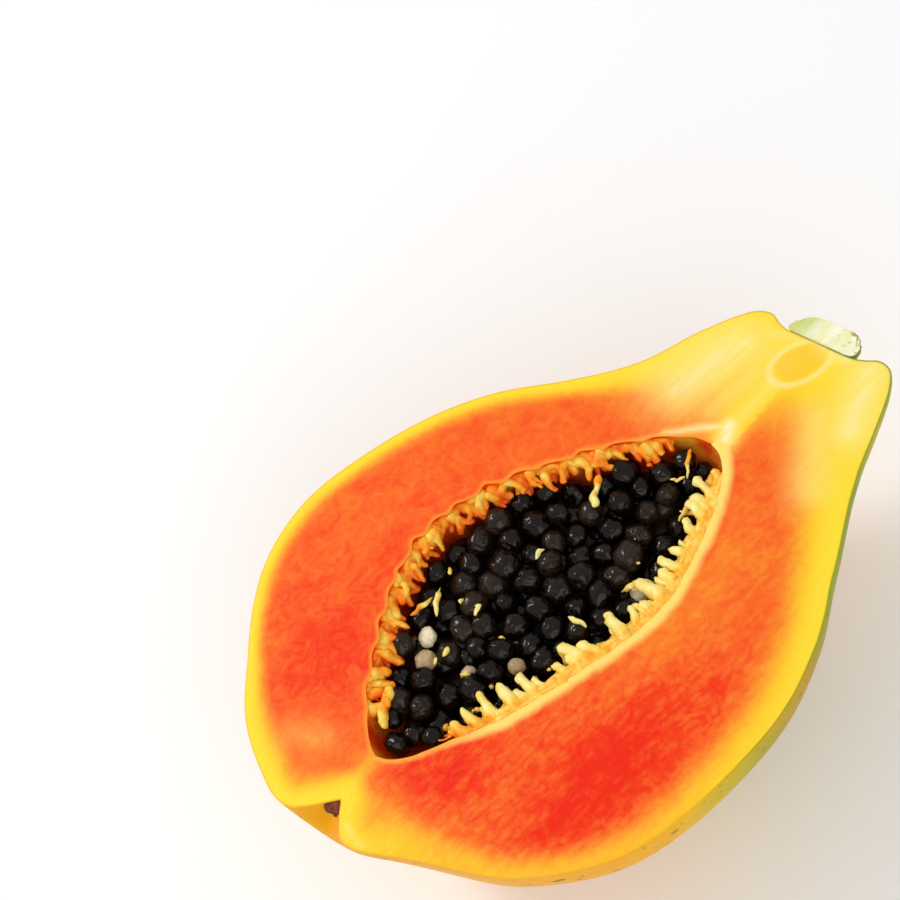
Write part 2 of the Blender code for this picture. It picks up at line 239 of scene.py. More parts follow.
def hollow_point(x, y, z):
    """A point of the turned hollow, in the grown one."""
    width = math.hypot(y, z)
    if width < ON_AXIS:
        return as_grown((x, hollow_middle(x), 0.0))
    side = 1.0 if y > 0.0 else PLAIN_SIDE
    below = abs(math.atan2(z, abs(y))) / (math.pi / 2)
    here = (1.0 - between(*POCKET_FADE, below)) * between(*POCKET_WIDTHS, width)
    middle, spread, reach = POCKET_UNEVEN
    share = middle + spread * noise.noise(Vector((x / reach, side, 4.0)))
    dent = POCKET_DEPTH * side * pocket_wave(x, side) ** POCKET_SHAPE * here
    dent *= min(max(share, POCKET_LEAST), 1.0)
    dent += fold_depth(x, below, side) * between(*POCKET_WIDTHS, width)
    grow = 1.0 + dent / width
    depth = -full_depth(width) * (-z / width) ** HOLLOW_WALL if z < 0.0 else 0.0
    return as_grown((x, hollow_middle(x) + y * grow, depth * grow))


def fold_depth(x, below, side):
    """The fine relief of the wall, in mm into the flesh: nothing at the rim itself."""
    start, full, fade, end = FOLD_RANGE
    here = between(start, full, below) * (1.0 - between(fade, end, below))
    rough = 0.5 + 0.5 * noise.noise(Vector((x / FOLD_LENGTH, below * FOLD_TURNS, side * 5.0)))
    return FOLD_DEPTH * here * (0.25 + 0.75 * pocket_wave(x, side)) * rough


print("the hollow's lowest point is", round(full_depth(HOLLOW_WIDE), 1), "mm below the cut")

# %% [markdown]
# The frame's origin is on the table under the middle of the fruit's box. `home` brings a point there
# from the fruit's own axis, and keeps it inside the box that the solids fill.

# %% From the fruit's axis to the frame
edge_points = [as_grown((x, s * r, 0.0)) for x, r in skin_line + stub_line for s in (-1.0, 1.0)]
edge_low, edge_high = (Vector([f(p[i] for p in edge_points) for i in range(2)]) for f in (min, max))
box_middle = (CAD_BOX[0] + CAD_BOX[1]) / 2
HOME = Vector((*(box_middle.xy / MM - (edge_low + edge_high) / 2), FACE_UP / MM))
print("the fruit's axis in the frame, mm:", [round(c, 2) for c in HOME])


def home(p):
    """A point given in mm from the fruit's axis, as a place in the frame, in metres."""
    place = (Vector(p) + HOME) * MM
    return Vector([min(max(place[i], CAD_BOX[0][i]), CAD_BOX[1][i]) for i in range(3)])


def straight(place):
    """The way back: along the straight axis and across it, in mm, for a place in the frame."""
    x, y = place.x / MM - HOME.x, place.y / MM - HOME.y
    along = x
    for _ in range(4):
        across = y - bow_at(along)
        along = x + lean_at(along) * across
    return along, across


# %% [markdown]
# ## Helpers for modelling by hand
#
# An operator acts on all that is selected, so each step first selects only what it should change.
# `alone` does that for objects, and `pick` for the parts of the mesh that is being edited.


# %% Select, shape, and hand over
def alone(*objects):
    """Selects only these objects, the last of them active."""
    bpy.ops.object.select_all(action="DESELECT")
    for each in objects:
        each.select_set(True)
    bpy.context.view_layer.objects.active = objects[-1]


def pick(obj, kind, test):
    """In edit mode, selects only the parts of one kind for which the test is true."""
    bpy.ops.mesh.select_mode(type=kind)
    bpy.ops.mesh.select_all(action="DESELECT")
    bm = bmesh.from_edit_mesh(obj.data)
    for part in {"VERT": bm.verts, "EDGE": bm.edges, "FACE": bm.faces}[kind]:
        if test(part):
            part.select_set(True)
    bm.select_flush_mode()
    bmesh.update_edit_mesh(obj.data)


def shape(obj, move):
    """Moves every point of a mesh by a rule."""
    for v in obj.data.vertices:
        v.co = move(v.co)
    obj.data.update()


def named(name):
    made = bpy.context.object
    made.name = made.data.name = name
    return made


def ball(name, sides, rings, radius=1.0, middle=(0.0, 0.0, 0.0)):
    """A sphere with its poles along X."""
    turn = (0.0, math.pi / 2, 0.0)
    bpy.ops.object.select_all(action="DESELECT")
    bpy.ops.mesh.primitive_uv_sphere_add(
        segments=sides, ring_count=rings, radius=radius, location=middle, rotation=turn
    )
    bpy.ops.object.transform_apply(location=True, rotation=True, scale=True)
    return named(name)


def joined(name, objects):
    """One mesh of many, named anew."""
    alone(*objects)
    bpy.ops.object.join()
    return named(name)


def face_outwards():
    """In edit mode, turns every face outwards, and then leaves that mode."""
    bpy.ops.mesh.select_all(action="SELECT")
    bpy.ops.mesh.normals_make_consistent(inside=False)
    bpy.ops.object.mode_set(mode="OBJECT")


def write_attribute(obj, name, values):
    """A number for each point of a mesh, which a material can read."""
    made = obj.data.attributes.new(name, "FLOAT", "POINT")
    made.data.foreach_set("value", np.asarray(values, np.float32))


def hand_over(obj, slot, *replaced):
    """Attaches a finished piece to the root body and hides the solids it replaces; the slot is not used."""
    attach(obj, "root")
    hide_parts(*replaced)
    obj.data.calc_loop_triangles()
    print(obj.name, len(obj.data.loop_triangles), "triangles")


# %% [markdown]
# ## The half fruit
#
# Skin, flesh and the wall of the hollow are one surface. It starts as the lower halves of two spheres
# with their poles along the fruit, a large one and a small one above its middle. A bridge between their
# open edges becomes the cut face: a neat grid that runs from the hollow out to the skin, as the fibres
# do. Only then does each point move to its place: a sphere's rings become places along the outline.

# %% Two half spheres, one above the other
RINGS, SKIN_SIDES, HOLLOW_SIDES, CUTS = 252, 160, 144, 38
SKIN_BALL, HOLLOW_BALL = 1.0, 0.5  # radii of the two spheres
LIFT = Vector((0.0, 0.0, 0.5))  # the small one is this much higher, which tells the bridge its direction
FLAT = 0.0001  # a point this near to a sphere's equator counts as on it
NEAR_BALL = 0.001  # and one this near to a sphere counts as on the sphere


def lower_half(name, radius, sides, middle):
    """The lower half of a sphere with its poles along X, open at the top."""
    made = ball(name, sides, RINGS, radius, middle)
    bpy.ops.object.mode_set(mode="EDIT")
    pick(made, "VERT", lambda v: v.co.z > middle[2] + FLAT)
    bpy.ops.mesh.delete(type="VERT")
    bpy.ops.object.mode_set(mode="OBJECT")
    return made


half = lower_half("papaya_half", SKIN_BALL, SKIN_SIDES, (0.0, 0.0, 0.0))
inside = lower_half("hollow", HOLLOW_BALL, HOLLOW_SIDES, LIFT)
alone(inside, half)
bpy.ops.object.join()
bpy.ops.object.mode_set(mode="EDIT")
bpy.ops.mesh.select_mode(type="EDGE")
bpy.ops.mesh.select_all(action="DESELECT")
bpy.ops.mesh.select_non_manifold()
bpy.ops.mesh.bridge_edge_loops(number_cuts=CUTS, interpolation="LINEAR")
face_outwards()
print("papaya_half:", len(half.data.vertices), "points")

# %% Which faces are skin, flesh and wall
SKIN, FLESH, WALL = range(3)
for made_name in ("skin", "flesh", "wall"):
    half.data.materials.append(bpy.data.materials.new(made_name))


def part_of(p):
    """Which of the three a point is on. The spheres' edges count as skin and wall."""
    if p.length > SKIN_BALL - NEAR_BALL:
        return SKIN
    return WALL if (p - LIFT).length < HOLLOW_BALL + NEAR_BALL else FLESH


def kind_of(face):
    parts = {part_of(half.data.vertices[i].co) for i in face.vertices}
    return FLESH if FLESH in parts else parts.pop()


kinds = [kind_of(face) for face in half.data.polygons]
half.data.polygons.foreach_set("material_index", kinds)
print("faces of skin, flesh and wall:", [kinds.count(k) for k in (SKIN, FLESH, WALL)])

# %% [markdown]
# A knife leaves a crisp edge, but no fruit has a perfectly sharp one. The rows of the cut face next to
# the skin and next to the hollow are brought close to the edge, and the edge itself is lowered a little,
# so it catches the light. The cut face also gets the faint relief of its torn cells.

# %% Every point to its place
EDGE_ROUND, EDGE_DROP = 0.35, 0.14  # mm
skin_at, hollow_at = by_length(skin_line), by_length(hollow_line)


def on_cut(share, row, side):
    """A point of the cut face: row 0 is at the hollow and 1 at the skin."""
    x, r = skin_at(share)
    outer = skin_point(x, side * r, 0.0)
    x, r = hollow_at(share)
    rim = hollow_point(x, side * r, 0.0)
    step = 1.0 / (CUTS + 1)
    margin = EDGE_ROUND / (outer - rim).length
    inner = (row - step) / (1.0 - 2.0 * step)
    place = rim.lerp(outer, margin + (1.0 - 2.0 * margin) * inner)
    return place - Vector((0.0, 0.0, cell_relief(place)))


CELL_DEPTH = 0.16  # mm
CELL_SIZE, SWELL_SIZE = (1.9, 1.1), (9.0, 6.0)  # mm along and across, of the cells and of broad swells
SMOOTH_NECK, NECK_SHARE = (40.0, 62.0), 0.15  # where the relief fades, in mm, and what is left of it


def cell_relief(place):
    """How far below the cut plane the flesh lies at a point, in mm."""
    cells = noise.noise(Vector((place.x / CELL_SIZE[0], place.y / CELL_SIZE[1], 0.0)))
    swells = noise.noise(Vector((place.x / SWELL_SIZE[0], place.y / SWELL_SIZE[1], 3.0)))
    rough = 1.0 - between(*SMOOTH_NECK, place.x)
    return CELL_DEPTH * (0.5 + 0.5 * cells + 0.3 * swells) * (NECK_SHARE + (1.0 - NECK_SHARE) * rough)


def to_place(p):
    """From the two spheres and their bridge to the fruit."""
    part = part_of(p)
    if part == FLESH:
        share = math.atan2(abs(p.y), p.x) / math.pi
        return home(on_cut(share, 1.0 - p.z / LIFT.z, math.copysign(1.0, p.y)))
    line, point = (skin_at, skin_point) if part == SKIN else (hollow_at, hollow_point)
    q = p if part == SKIN else p - LIFT
    x, r = line(math.atan2(math.hypot(q.y, q.z), q.x) / math.pi)
    if abs(q.z) < FLAT:
        return home(point(x, math.copysign(r, q.y), 0.0) - Vector((0.0, 0.0, EDGE_DROP)))
    around = math.atan2(q.z, q.y)
    return home(point(x, r * math.cos(around), r * math.sin(around)))


shape(half, to_place)
bpy.ops.object.mode_set(mode="EDIT")
face_outwards()
lowest = min(v.co.z for v in half.data.vertices)
print("the skin reaches down to", round(lowest / MM, 2), "mm above the floor")

# %% [markdown]
# ## What the materials need to know
#
# The yellow layer follows the skin, and a light rim follows the hollow. A material can't measure how far
# a point is from an edge, so that is measured here once and written on the mesh as attributes, in
# millimetres: `under_skin` and `off_hollow`. `pocket` tells the wall where its pockets are. `lower` is 1 on
# the near side of the hollow, where its rim is wide and pale, and falls towards the blossom end.


# %% Measure distances to the skin and to the rim
def edge_tree(line, point):
    """The cut's edge as a tree that finds the nearest point on it."""
    points = [home(point(x, s * r, 0.0)) for x, r in line for s in (-1.0, 1.0)]
    tree = kdtree.KDTree(len(points))
    for i, p in enumerate(points):
        tree.insert(p, i)
    tree.balance()
    return tree


def distance_mm(tree, p):
    return tree.find(Vector((p.x, p.y, FACE_UP)))[2] / MM


skin_edge = edge_tree(smooth_line(OUTLINE, 40), skin_point)
rim_edge = edge_tree(smooth_line(HOLLOW, 40), hollow_point)
places = [v.co.copy() for v in half.data.vertices]
axis_places = [straight(p) for p in places]
under_skin = [distance_mm(skin_edge, p) for p in places]
off_hollow = [distance_mm(rim_edge, p) for p in places]
write_attribute(half, "under_skin", under_skin)
write_attribute(half, "off_hollow", off_hollow)
sides = [1.0 if across > hollow_middle(along) else PLAIN_SIDE for along, across in axis_places]
write_attribute(half, "pocket", [pocket_wave(a, s) for (a, _), s in zip(axis_places, sides)])
PALE_RIM_FALL, PALE_RIM_ENDS = 0.8, (38.0, 54.0)  # by how much it falls, and where, in mm
near_shares = [1.0 - PALE_RIM_FALL * between(*PALE_RIM_ENDS, -along) for along, _ in axis_places]
write_attribute(half, "lower", [n if s < 1.0 else 0.0 for n, s in zip(near_shares, sides)])
print("the flesh is up to", round(max(off_hollow), 1), "mm thick at the cut")

# %% [markdown]
# How ripe the flesh is changes over the cut: deep red low on the near side and towards the blossom end,
# more orange on the far side, and yellow in the neck, under the skin, and along the path of fibres from
# the stalk to the hollow. `ripe` holds that from 0, yellow, to 1, red.

# %% How ripe the flesh is
BLUSHES = [  # place along and across, reach along and across, in mm, and how much redder
    (-34.0, -42.0, 26.0, 11.0, 0.34),
    (-56.0, -12.0, 13.0, 9.0, 0.30),
    (-52.0, 27.0, 15.0, 12.0, 0.18),
    (-24.0, 36.0, 12.0, 7.0, 0.10),
    (14.0, -24.0, 22.0, 9.0, -0.16),
    (38.0, -14.0, 12.0, 9.0, -0.06),
    (-68.0, 18.0, 9.0, 9.0, -0.16),
    (-71.0, -13.0, 8.0, 13.0, -0.34),
]
FLESH_RIPE = 0.64
FIBRE_PATH = [(76.0, -2.0), (66.0, 2.2), (55.0, 3.4), (47.0, 2.4)]  # from the stalk to the hollow
SCAR_PATH = [(-74.0, 1.0), (-62.0, 1.8)]  # and from there to the blossom's scar
FIBRE_FADE, SCAR_FADE = (0.85, 4.2), (0.55, 2.6)  # how much less ripe a path is, and its half width in mm
NECK_FADE, NECK_FAR, NECK_NEAR = 0.88, (30.0, 64.0), (44.0, 70.0)  # the same, and where, on its two sides
LAYER_LEAST, LAYER_NEAR, LAYER_BELLY, LAYER_NECK, LAYER_BLOSSOM = 3.0, 1.6, 3.4, 4.0, 2.6  # mm of yellow
LEAST_RIPE = 0.20  # right under the skin, low on the near side


def away_from(line, along, across):
    """The distance in mm from a point to a line of (along, across) places."""
    p = Vector((along, across))
    best = math.inf
    for a, b in zip(line, line[1:]):
        a, b = Vector(a), Vector(b)
        t = min(max((p - a).dot(b - a) / (b - a).length_squared, 0.0), 1.0)
        best = min(best, (p - a.lerp(b, t)).length)
    return best


def yellow_width(along, across):
    """How wide the yellow layer under the skin is, in mm."""
    near_side = 1.0 - between(-16.0, 10.0, across)
    wide = LAYER_LEAST + near_side * (LAYER_NEAR + LAYER_BELLY * between(-60.0, 20.0, along))
    return wide + LAYER_NECK * between(24.0, 60.0, along) + LAYER_BLOSSOM * between(58.0, 76.0, -along)


def ripeness(along, across, under):
    """0 where the flesh is yellow, 1 where it is deep red."""
    wide = yellow_width(along, across)
    ripe = FLESH_RIPE
    for x, y, far_x, far_y, more in BLUSHES:
        ripe += more * math.exp(-(((along - x) / far_x) ** 2) - ((across - y) / far_y) ** 2)
    least = LEAST_RIPE * (1.0 - between(-50.0, 30.0, along)) * (1.0 - between(-30.0, 0.0, across))
    ripe = least + (ripe - least) * between(0.2 * wide, 1.9 * wide, under)
    ripe *= 1.0 - NECK_FADE * between(*(NECK_FAR if across > 0.0 else NECK_NEAR), along)
    for path, (fade, half_width) in ((FIBRE_PATH, FIBRE_FADE), (SCAR_PATH, SCAR_FADE)):
        ripe *= 1.0 - fade * math.exp(-((away_from(path, along, across) / half_width) ** 2))
    return min(max(ripe, 0.0), 1.0)


SHALLOW = FACE_UP - 1.0 * MM  # only the cut face shows these colours, so the rest is left at 0
on_face = [p.z > SHALLOW for p in places]
ripe = [ripeness(*at, under) if cut else 0.0 for cut, at, under in zip(on_face, axis_places, under_skin)]
write_attribute(half, "ripe", ripe)
print("ripe goes up to", round(max(ripe), 2), "on", sum(on_face), "points of the cut")

# %% [markdown]
# Pale fibres run along with that: a forked white tuft at the hollow's tip, arms of it that follow the
# rim, and a ring round the golden oval in which the stalk's bundle ends. Two lines of the list are painted
# highlights instead: a light patch on the near side of the neck and a light line along a fold of the lower
# lobe. `pale` holds them all, and `oval` is how far a point is from the oval's middle, as a share of its
# radii.

# %% Pale fibres, two painted highlights and the golden oval
PALE_FIBRES_AND_HIGHLIGHTS = [  # a line of (along, across) places, its half width in mm, and how white it is
    ([(49.5, 3.6), (46.0, 2.0)], 2.3, 1.0),
    ([(48.5, 4.5), (44.8, 8.8), (39.0, 13.2)], 1.3, 0.8),
    ([(39.0, 13.2), (30.0, 17.8), (20.0, 22.6)], 1.0, 0.4),
    ([(46.0, 2.0), (43.4, -0.6), (38.6, -5.0)], 1.3, 0.75),
    ([(78.0, -1.6), (77.0, -7.6)], 2.8, 0.8),
    ([(77.4, 5.0), (74.0, 10.0)], 2.6, 0.5),
    # painted highlight: the light patch on the near side of the neck
    ([(76.0, -14.0), (64.0, -19.0)], 5.5, 0.74),
    ([(68.0, 15.0), (50.0, 20.0)], 8.0, 0.74),
    ([(63.0, 8.0), (50.0, 10.0)], 3.6, 0.40),
    ([(62.0, -12.0), (48.0, -21.0)], 5.0, 0.45),
    ([(62.0, 2.6), (50.0, 3.4)], 2.0, 0.35),
    # painted highlight: a light line along the fold of the lower lobe
    ([(-78.8, -5.6), (-81.0, -11.6)], 0.8, 0.4),
    ([(-69.0, 20.0), (-66.0, 14.0)], 3.5, 0.12),
]
OVAL_MIDDLE, OVAL_TURN, OVAL_RADII = Vector((71.0, 0.5)), math.radians(-22.0), (6.6, 4.2)


def fibre_and_highlight_paleness(along, across):
    most = 0.0
    for line, wide, white in PALE_FIBRES_AND_HIGHLIGHTS:
        most = max(most, white * math.exp(-((away_from(line, along, across) / wide) ** 2)))
    return most


def oval_share(along, across):
    """0 in the middle of the oval, 1 on its edge."""
    p = Vector((along, across)) - OVAL_MIDDLE
    long, wide = Matrix.Rotation(-OVAL_TURN, 2) @ p
    return math.hypot(long / OVAL_RADII[0], wide / OVAL_RADII[1])


write_attribute(half, "pale", [fibre_and_highlight_paleness(*at) if cut else 0.0 for cut, at in zip(on_face, axis_places)])
FAR_OUT = 3.0  # the share stops here, well outside the ring
write_attribute(half, "oval", [min(oval_share(*at), FAR_OUT) for at in axis_places])
print(len(PALE_FIBRES_AND_HIGHLIGHTS), "tufts of pale fibre, and the oval's middle at", list(OVAL_MIDDLE), "mm")

# %% [markdown]
# The skin is golden, and still green on the near side of the neck. `green` goes from 0 to 1. `grainy` is
# where the cut shows its cells most: low on the near side and at the blossom end, not in the neck.

# %% Where the skin is green and the flesh is grainy
NEAR_TO_GREEN, ALONG_TO_GREEN = (2.0, 34.0), (-62.0, 30.0)  # mm: from gold to green
NECK_GREEN, NECK_ALONG, NECK_ACROSS = 0.75, (40.0, 74.0), (-6.0, 14.0)
STALK_GREEN, STALK_ALONG = 0.25, (66.0, 80.0)
GRAINY_FAR, GRAINY_ACROSS, GRAINY_ALONG = 0.35, (-14.0, 10.0), (26.0, 56.0)
green, grainy = [], []
for along, across in axis_places:
    near = between(*NEAR_TO_GREEN, -across) * between(*ALONG_TO_GREEN, along)
    neck = NECK_GREEN * between(*NECK_ALONG, along) * between(*NECK_ACROSS, -across)
    green.append(min(max(near, neck) + STALK_GREEN * between(*STALK_ALONG, along), 1.0))
    low_side = 1.0 - between(*GRAINY_ACROSS, across)
    grainy.append((GRAINY_FAR + (1.0 - GRAINY_FAR) * low_side) * (1.0 - between(*GRAINY_ALONG, along)))
write_attribute(half, "green", green)
write_attribute(half, "grainy", grainy)
print("more green than golden:", sum(share > 0.5 for share in green), "points")

# %% [markdown]
# ## Seeds
#
# Papaya seeds are small, round and black, with a wrinkled coat. They lie in the hollow as a shaken heap
# does. Their places follow one seeded rule: each new seed goes where it lies closest to the wall and to
# the others. The first three layers are those of the solid heap, and a fourth fills the gaps far down.

# %% Where the seeds lie
SEED_LONG, SEED_WIDE = 3.85, 3.55  # mm, half of a seed's length and width
SEED_SIZES = (0.86, 1.06)
SEED_LAYERS = [  # mm below the highest seeds: least, most, deepest, and the floor it may lie on
    (0.0, 2.2, 7.6, 9.4),
    (1.8, 4.4, 7.6, 9.4),
    (4.0, 6.2, 7.6, 9.4),
    (6.5, 9.5, 11.5, 12.5),
]
SEED_CLOSE, SEED_TOUCH, SEED_TRIES, SEED_WALL = 0.88, 0.3, 6000, 0.6
HEAP_TOP, HEAP_FALL, THREAD_FALL, THREAD_REACH = 1.0, 1.6, 4.2, (6.0, 11.0)
SEED_DRAW = 11


def heap_places():
    """Where the seeds lie: (centre in mm, size, turn), upper layers first, each draw seeded."""
    draw = np.random.default_rng(SEED_DRAW)
    line = np.array(smooth_line(HOLLOW, 5)[::-1])
    middle_at = np.vectorize(hollow_middle)
    centres, sizes = np.empty((0, 3)), np.empty(0)
    for least, most, deepest, floor in SEED_LAYERS:
        while True:
            x = draw.uniform(line[0, 0], line[-1, 0], SEED_TRIES)
            across = draw.uniform(-1.0, 1.0, SEED_TRIES)
            size = draw.uniform(*SEED_SIZES, SEED_TRIES)
            drop = draw.uniform(least, most, SEED_TRIES)
            width = np.interp(x, *line.T)
            slope = np.interp(x + 1.0, *line.T) - np.interp(x - 1.0, *line.T)
            from_threads = np.clip((1.0 + across) * width, *THREAD_REACH) - THREAD_REACH[0]
            under = 1.0 - from_threads / (THREAD_REACH[1] - THREAD_REACH[0])
            fall = np.where(across > 0.0, HEAP_FALL * across**2, THREAD_FALL * under)
            z = np.minimum(HEAP_TOP + fall + drop, deepest) + SEED_WIDE * size
            down = (z / full_depth(np.maximum(width, 1.0))) ** (1.0 / HOLLOW_WALL)
            room = width * (1.0 - np.hypot(across, down)) / np.hypot(1.0, slope / 2.0)
            room -= SEED_LONG * size + SEED_WALL
            place = np.stack([x, middle_at(x) + across * width, -z], axis=1)
            away = np.linalg.norm(place[:, None] - centres, axis=2)
            radii = SEED_WIDE * (size[:, None] + sizes)
            gaps = np.hstack([room[:, None], away - SEED_CLOSE * radii])
            held = z + SEED_WIDE * size > floor + SEED_TOUCH
            held |= (away - radii).min(axis=1, initial=0.0 if not len(centres) else np.inf) < -SEED_TOUCH
            if not len(centres):
                held[:] = True
            fits = held & (gaps.min(axis=1) >= 0.0)
            if not fits.any():
                break
            best = np.argmin(np.where(fits, np.sort(gaps, axis=1)[:, :3].sum(axis=1), np.inf))
            centres = np.vstack([centres, place[best]])
            sizes = np.append(sizes, size[best])
    turns = draw.uniform(0.0, math.tau, (len(centres), 3))
    return [(as_grown(p), s, Euler(t)) for p, s, t in zip(centres, sizes, turns)]


END_SEEDS = [  # at the hollow's two ends: along, across and up in mm, and size
    (-56.8, 2.5, -4.3, 0.92),
    (-52.6, 7.4, -3.6, 0.76),
    (-50.2, -2.6, -3.8, 0.80),
    (38.8, 2.0, -4.6, 0.70),
]
heap = heap_places()
for *place, size in END_SEEDS:
    heap.append((as_grown(place), size, Euler((1.0, 2.0, 3.0 * size))))
print(len(heap), "seeds, the highest", round(-max(p.z + SEED_WIDE * s for p, s, _ in heap), 2), "mm down")

# %% [markdown]
# The coat's wrinkles are real relief. A few seeds are modelled from icospheres, with broad dents and
# crossing ridges, fine ones for the seeds on top and coarse ones for those below. Each place gets a
# turned and scaled copy of one.

# %% Model a few seeds
SEED_KINDS, SEED_BASE, SEED_BLUNT = 6, 0.87, 0.07
DENTS, FINE_RIDGES = (1.4, 0.11), (7.5, 0.034)  # lumps a radius, and how high they are
RIDGES = (3.6, 2.2, 0.075)  # lumps a radius across and along the seed, and how high they are


def wrinkled(p, kind):
    """A point of the unit sphere on a seed's coat: blunt at one end, dented and ridged."""
    q = p.normalized()
    away = Vector((7.3 * kind, 0.0, 0.0))
    across, along, high = RIDGES
    dent = noise.noise(q * DENTS[0] + away)
    ridge = 1.0 - 2.2 * abs(noise.noise(Vector((q.x * across, q.y * across, q.z * along)) + away))
    fine = 1.0 - 2.0 * abs(noise.noise(q * FINE_RIDGES[0] + away))
    blunt = 1.0 - SEED_BLUNT * max(q.z, 0.0) ** 2
    return q * (SEED_BASE * blunt + DENTS[1] * dent + high * ridge + FINE_RIDGES[1] * fine)


def seed_model(kind, fineness):
    bpy.ops.object.select_all(action="DESELECT")
    bpy.ops.mesh.primitive_ico_sphere_add(subdivisions=fineness, radius=1.0)
    made = named(f"seed_{kind}_{fineness}")
    shape(made, lambda p: wrinkled(p, kind))
    made.data.shade_smooth()
    return made


FINE, COARSE = 4, 3
models = {(kind, level): seed_model(kind, level) for kind in range(SEED_KINDS) for level in (FINE, COARSE)}
print(len(models), "seed models, the fine ones of", len(models[0, FINE].data.polygons), "faces")

# %% [markdown]
# Not every seed ripens. Here and there lies a small one that stayed soft and beige or white. The list
# holds where, and the nearest seed on top is made pale and small. `tone` gives each seed its own shade.

# %% Copy them into the heap
TOP_DEPTH = 5.2  # mm below the cut; seeds whose top is higher than this are seen well
PALE_AT = [  # along and across in mm, and how light
    (10.9, -6.9, 1.0),
    (-34.0, 19.0, 0.75),
    (-40.0, 12.2, 0.3),
    (-37.0, 6.6, 0.45),
    (-25.8, -4.7, 0.15),
]
PALE_SIZE, PALE_SHAPES = 0.74, (0.62, 1.16)
SEED_SHAPES = (0.84, 1.12)  # each radius is multiplied by a draw from this
SEED_STRAY, SEED_SHIFT, SEED_CLEAR = (-2.0, 0.9), 0.7, 0.7  # mm up or down, sideways, and below the cut


def lay(model, place, size, turn, shapes, tone, draw):
    """A copy of a seed near its place, with its own mesh, proportions and tone."""
    copy = model.copy()
    copy.data = model.data.copy()
    bpy.context.collection.objects.link(copy)
    radii = [r * size * draw.uniform(*shapes) for r in (SEED_WIDE, SEED_WIDE, SEED_LONG)]
    highest = -SEED_CLEAR - max(radii)
    aside = [draw.uniform(-SEED_SHIFT, SEED_SHIFT) for _ in range(2)]
    up = min(place.z + draw.uniform(*SEED_STRAY), highest)
    strayed = Vector((place.x + aside[0], place.y + aside[1], up))
    scale = Matrix.Diagonal((*(r * MM for r in radii), 1.0))
    copy.data.transform(Matrix.Translation(home(strayed)) @ turn.to_matrix().to_4x4() @ scale)
    write_attribute(copy, "tone", [tone] * len(copy.data.vertices))
    return copy


def top_of(i):
    return -(heap[i][0].z + SEED_WIDE * heap[i][1])


on_top = [i for i in range(len(heap)) if top_of(i) < TOP_DEPTH]
pale_ones = {min(on_top, key=lambda i: (heap[i][0].xy - Vector(at)).length): tone for *at, tone in PALE_AT}
draw = random.Random(8)
black, light = [], []
for i, (place, size, turn) in enumerate(heap):
    model = models[i % SEED_KINDS, FINE if top_of(i) < TOP_DEPTH else COARSE]
    if i in pale_ones:
        light.append(lay(model, place, size * PALE_SIZE, turn, PALE_SHAPES, pale_ones[i], draw))
    else:
        black.append(lay(model, place, size, turn, SEED_SHAPES, draw.random(), draw))
seeds = joined("seeds_black", black)
pale_seeds = joined("seeds_pale", light)
for model in models.values():
    bpy.data.objects.remove(model)
print(len(black), "black seeds and", len(light), "pale ones")

# %% [markdown]
# Under the seeds lies the wet pulp that they sit in. Only dark slits of it show, so a low, lumpy bed just
# below the last layer is enough: the turned hollow once more, pressed flat at the top. Its near-black
# colour is painted shade: the shade in the slits between the seeds, not the pulp's own colour.

# %% The bed under the seeds
BED_TOP, BED_WALL, BED_LUMPS = 12.2, 0.8, (0.9, 4.0)  # mm; how high the lumps are, and how long
BED_RINGS, BED_SIDES, BED_STEPS, BED_SHORTER = 48, 48, 4, 2
bed_line = smooth_line(HOLLOW, BED_STEPS)[BED_SHORTER:-BED_SHORTER]
bed_at = by_length([(x, max(r - BED_WALL, 0.0)) for x, r in bed_line])


def bed_point(p):
    x, r = bed_at(math.atan2(math.hypot(p.y, p.z), p.x) / math.pi)
    y = r * p.y / max(math.hypot(p.y, p.z), FLAT)
    down = min(-p.z / max(math.hypot(p.y, p.z), FLAT), 1.0)
    depth = full_depth(r) * down**HOLLOW_WALL if down > FLAT else 0.0
    lump = BED_LUMPS[0] * noise.noise(Vector((x, y, 0.0)) / BED_LUMPS[1])
    return home(as_grown((x, hollow_middle(x) + y, -max(depth, BED_TOP + lump))))


bed = ball("pulp_bed_in_painted_shade", BED_SIDES, BED_RINGS)
shape(bed, bed_point)
bed.data.shade_smooth()
print("the bed's top is about", BED_TOP, "mm below the cut")

# %% [markdown]
# ## Threads of pulp
#
# Seeds hang on soft threads that grow from the wall. After the cut they stand in from the near rim, thick
# at the root and blunt at the tip, out of a lip of the same pulp. On the far wall they are short curls on
# the ridges between the pockets. Each is a curve with a round bevel whose radius changes along it, which is
# easier to place than a mesh and becomes one mesh later.

# %% Helpers for threads
wall_widths = np.array(hollow_line[::-1])
NEAR, FAR = -1.0, 1.0
TUBE_STEPS = 4  # points of the finished tube between two places


def wall_at(x, side):
    """Where the hollow's rim lies across, in mm, on the near or the far side."""
    return hollow_middle(x) + side * float(np.interp(x, *wall_widths.T))


def tube(places, radii, sides=2):
    """A smooth tapered tube through places of the straight fruit, in mm."""
    bpy.ops.object.select_all(action="DESELECT")
    bpy.ops.curve.primitive_nurbs_path_add()
    made = bpy.context.object
    spline = made.data.splines[0]
    spline.points.add(len(places) - len(spline.points))
    for point, place, radius in zip(spline.points, places, radii):
        point.co = (*home(as_grown(place)), 1.0)
        point.radius = radius
    spline.order_u = 3
    spline.use_endpoint_u = True
    spline.resolution_u = TUBE_STEPS
    made.data.bevel_depth = MM
    made.data.bevel_resolution = sides
    made.data.use_fill_caps = True
    return made


def thread(start, tip, bend, thick, thin):
    """A thread from start to tip, its middle moved by bend, its tip blunt."""
    middle = start.lerp(tip, 0.5) + bend
    path = [start, start.lerp(middle, 0.6), middle, middle.lerp(tip, 0.6), tip]
    on = (tip - path[-2]).normalized() * thin
    path += [tip + on * 0.5, tip + on * 0.85]
    return tube(path, [thick, thick, (thick + thin) / 2, thin, thin, thin * 0.75, thin * 0.2])


print("the hollow's rim at the belly, mm across:", [round(wall_at(belly_at, s), 1) for s in (NEAR, FAR)])

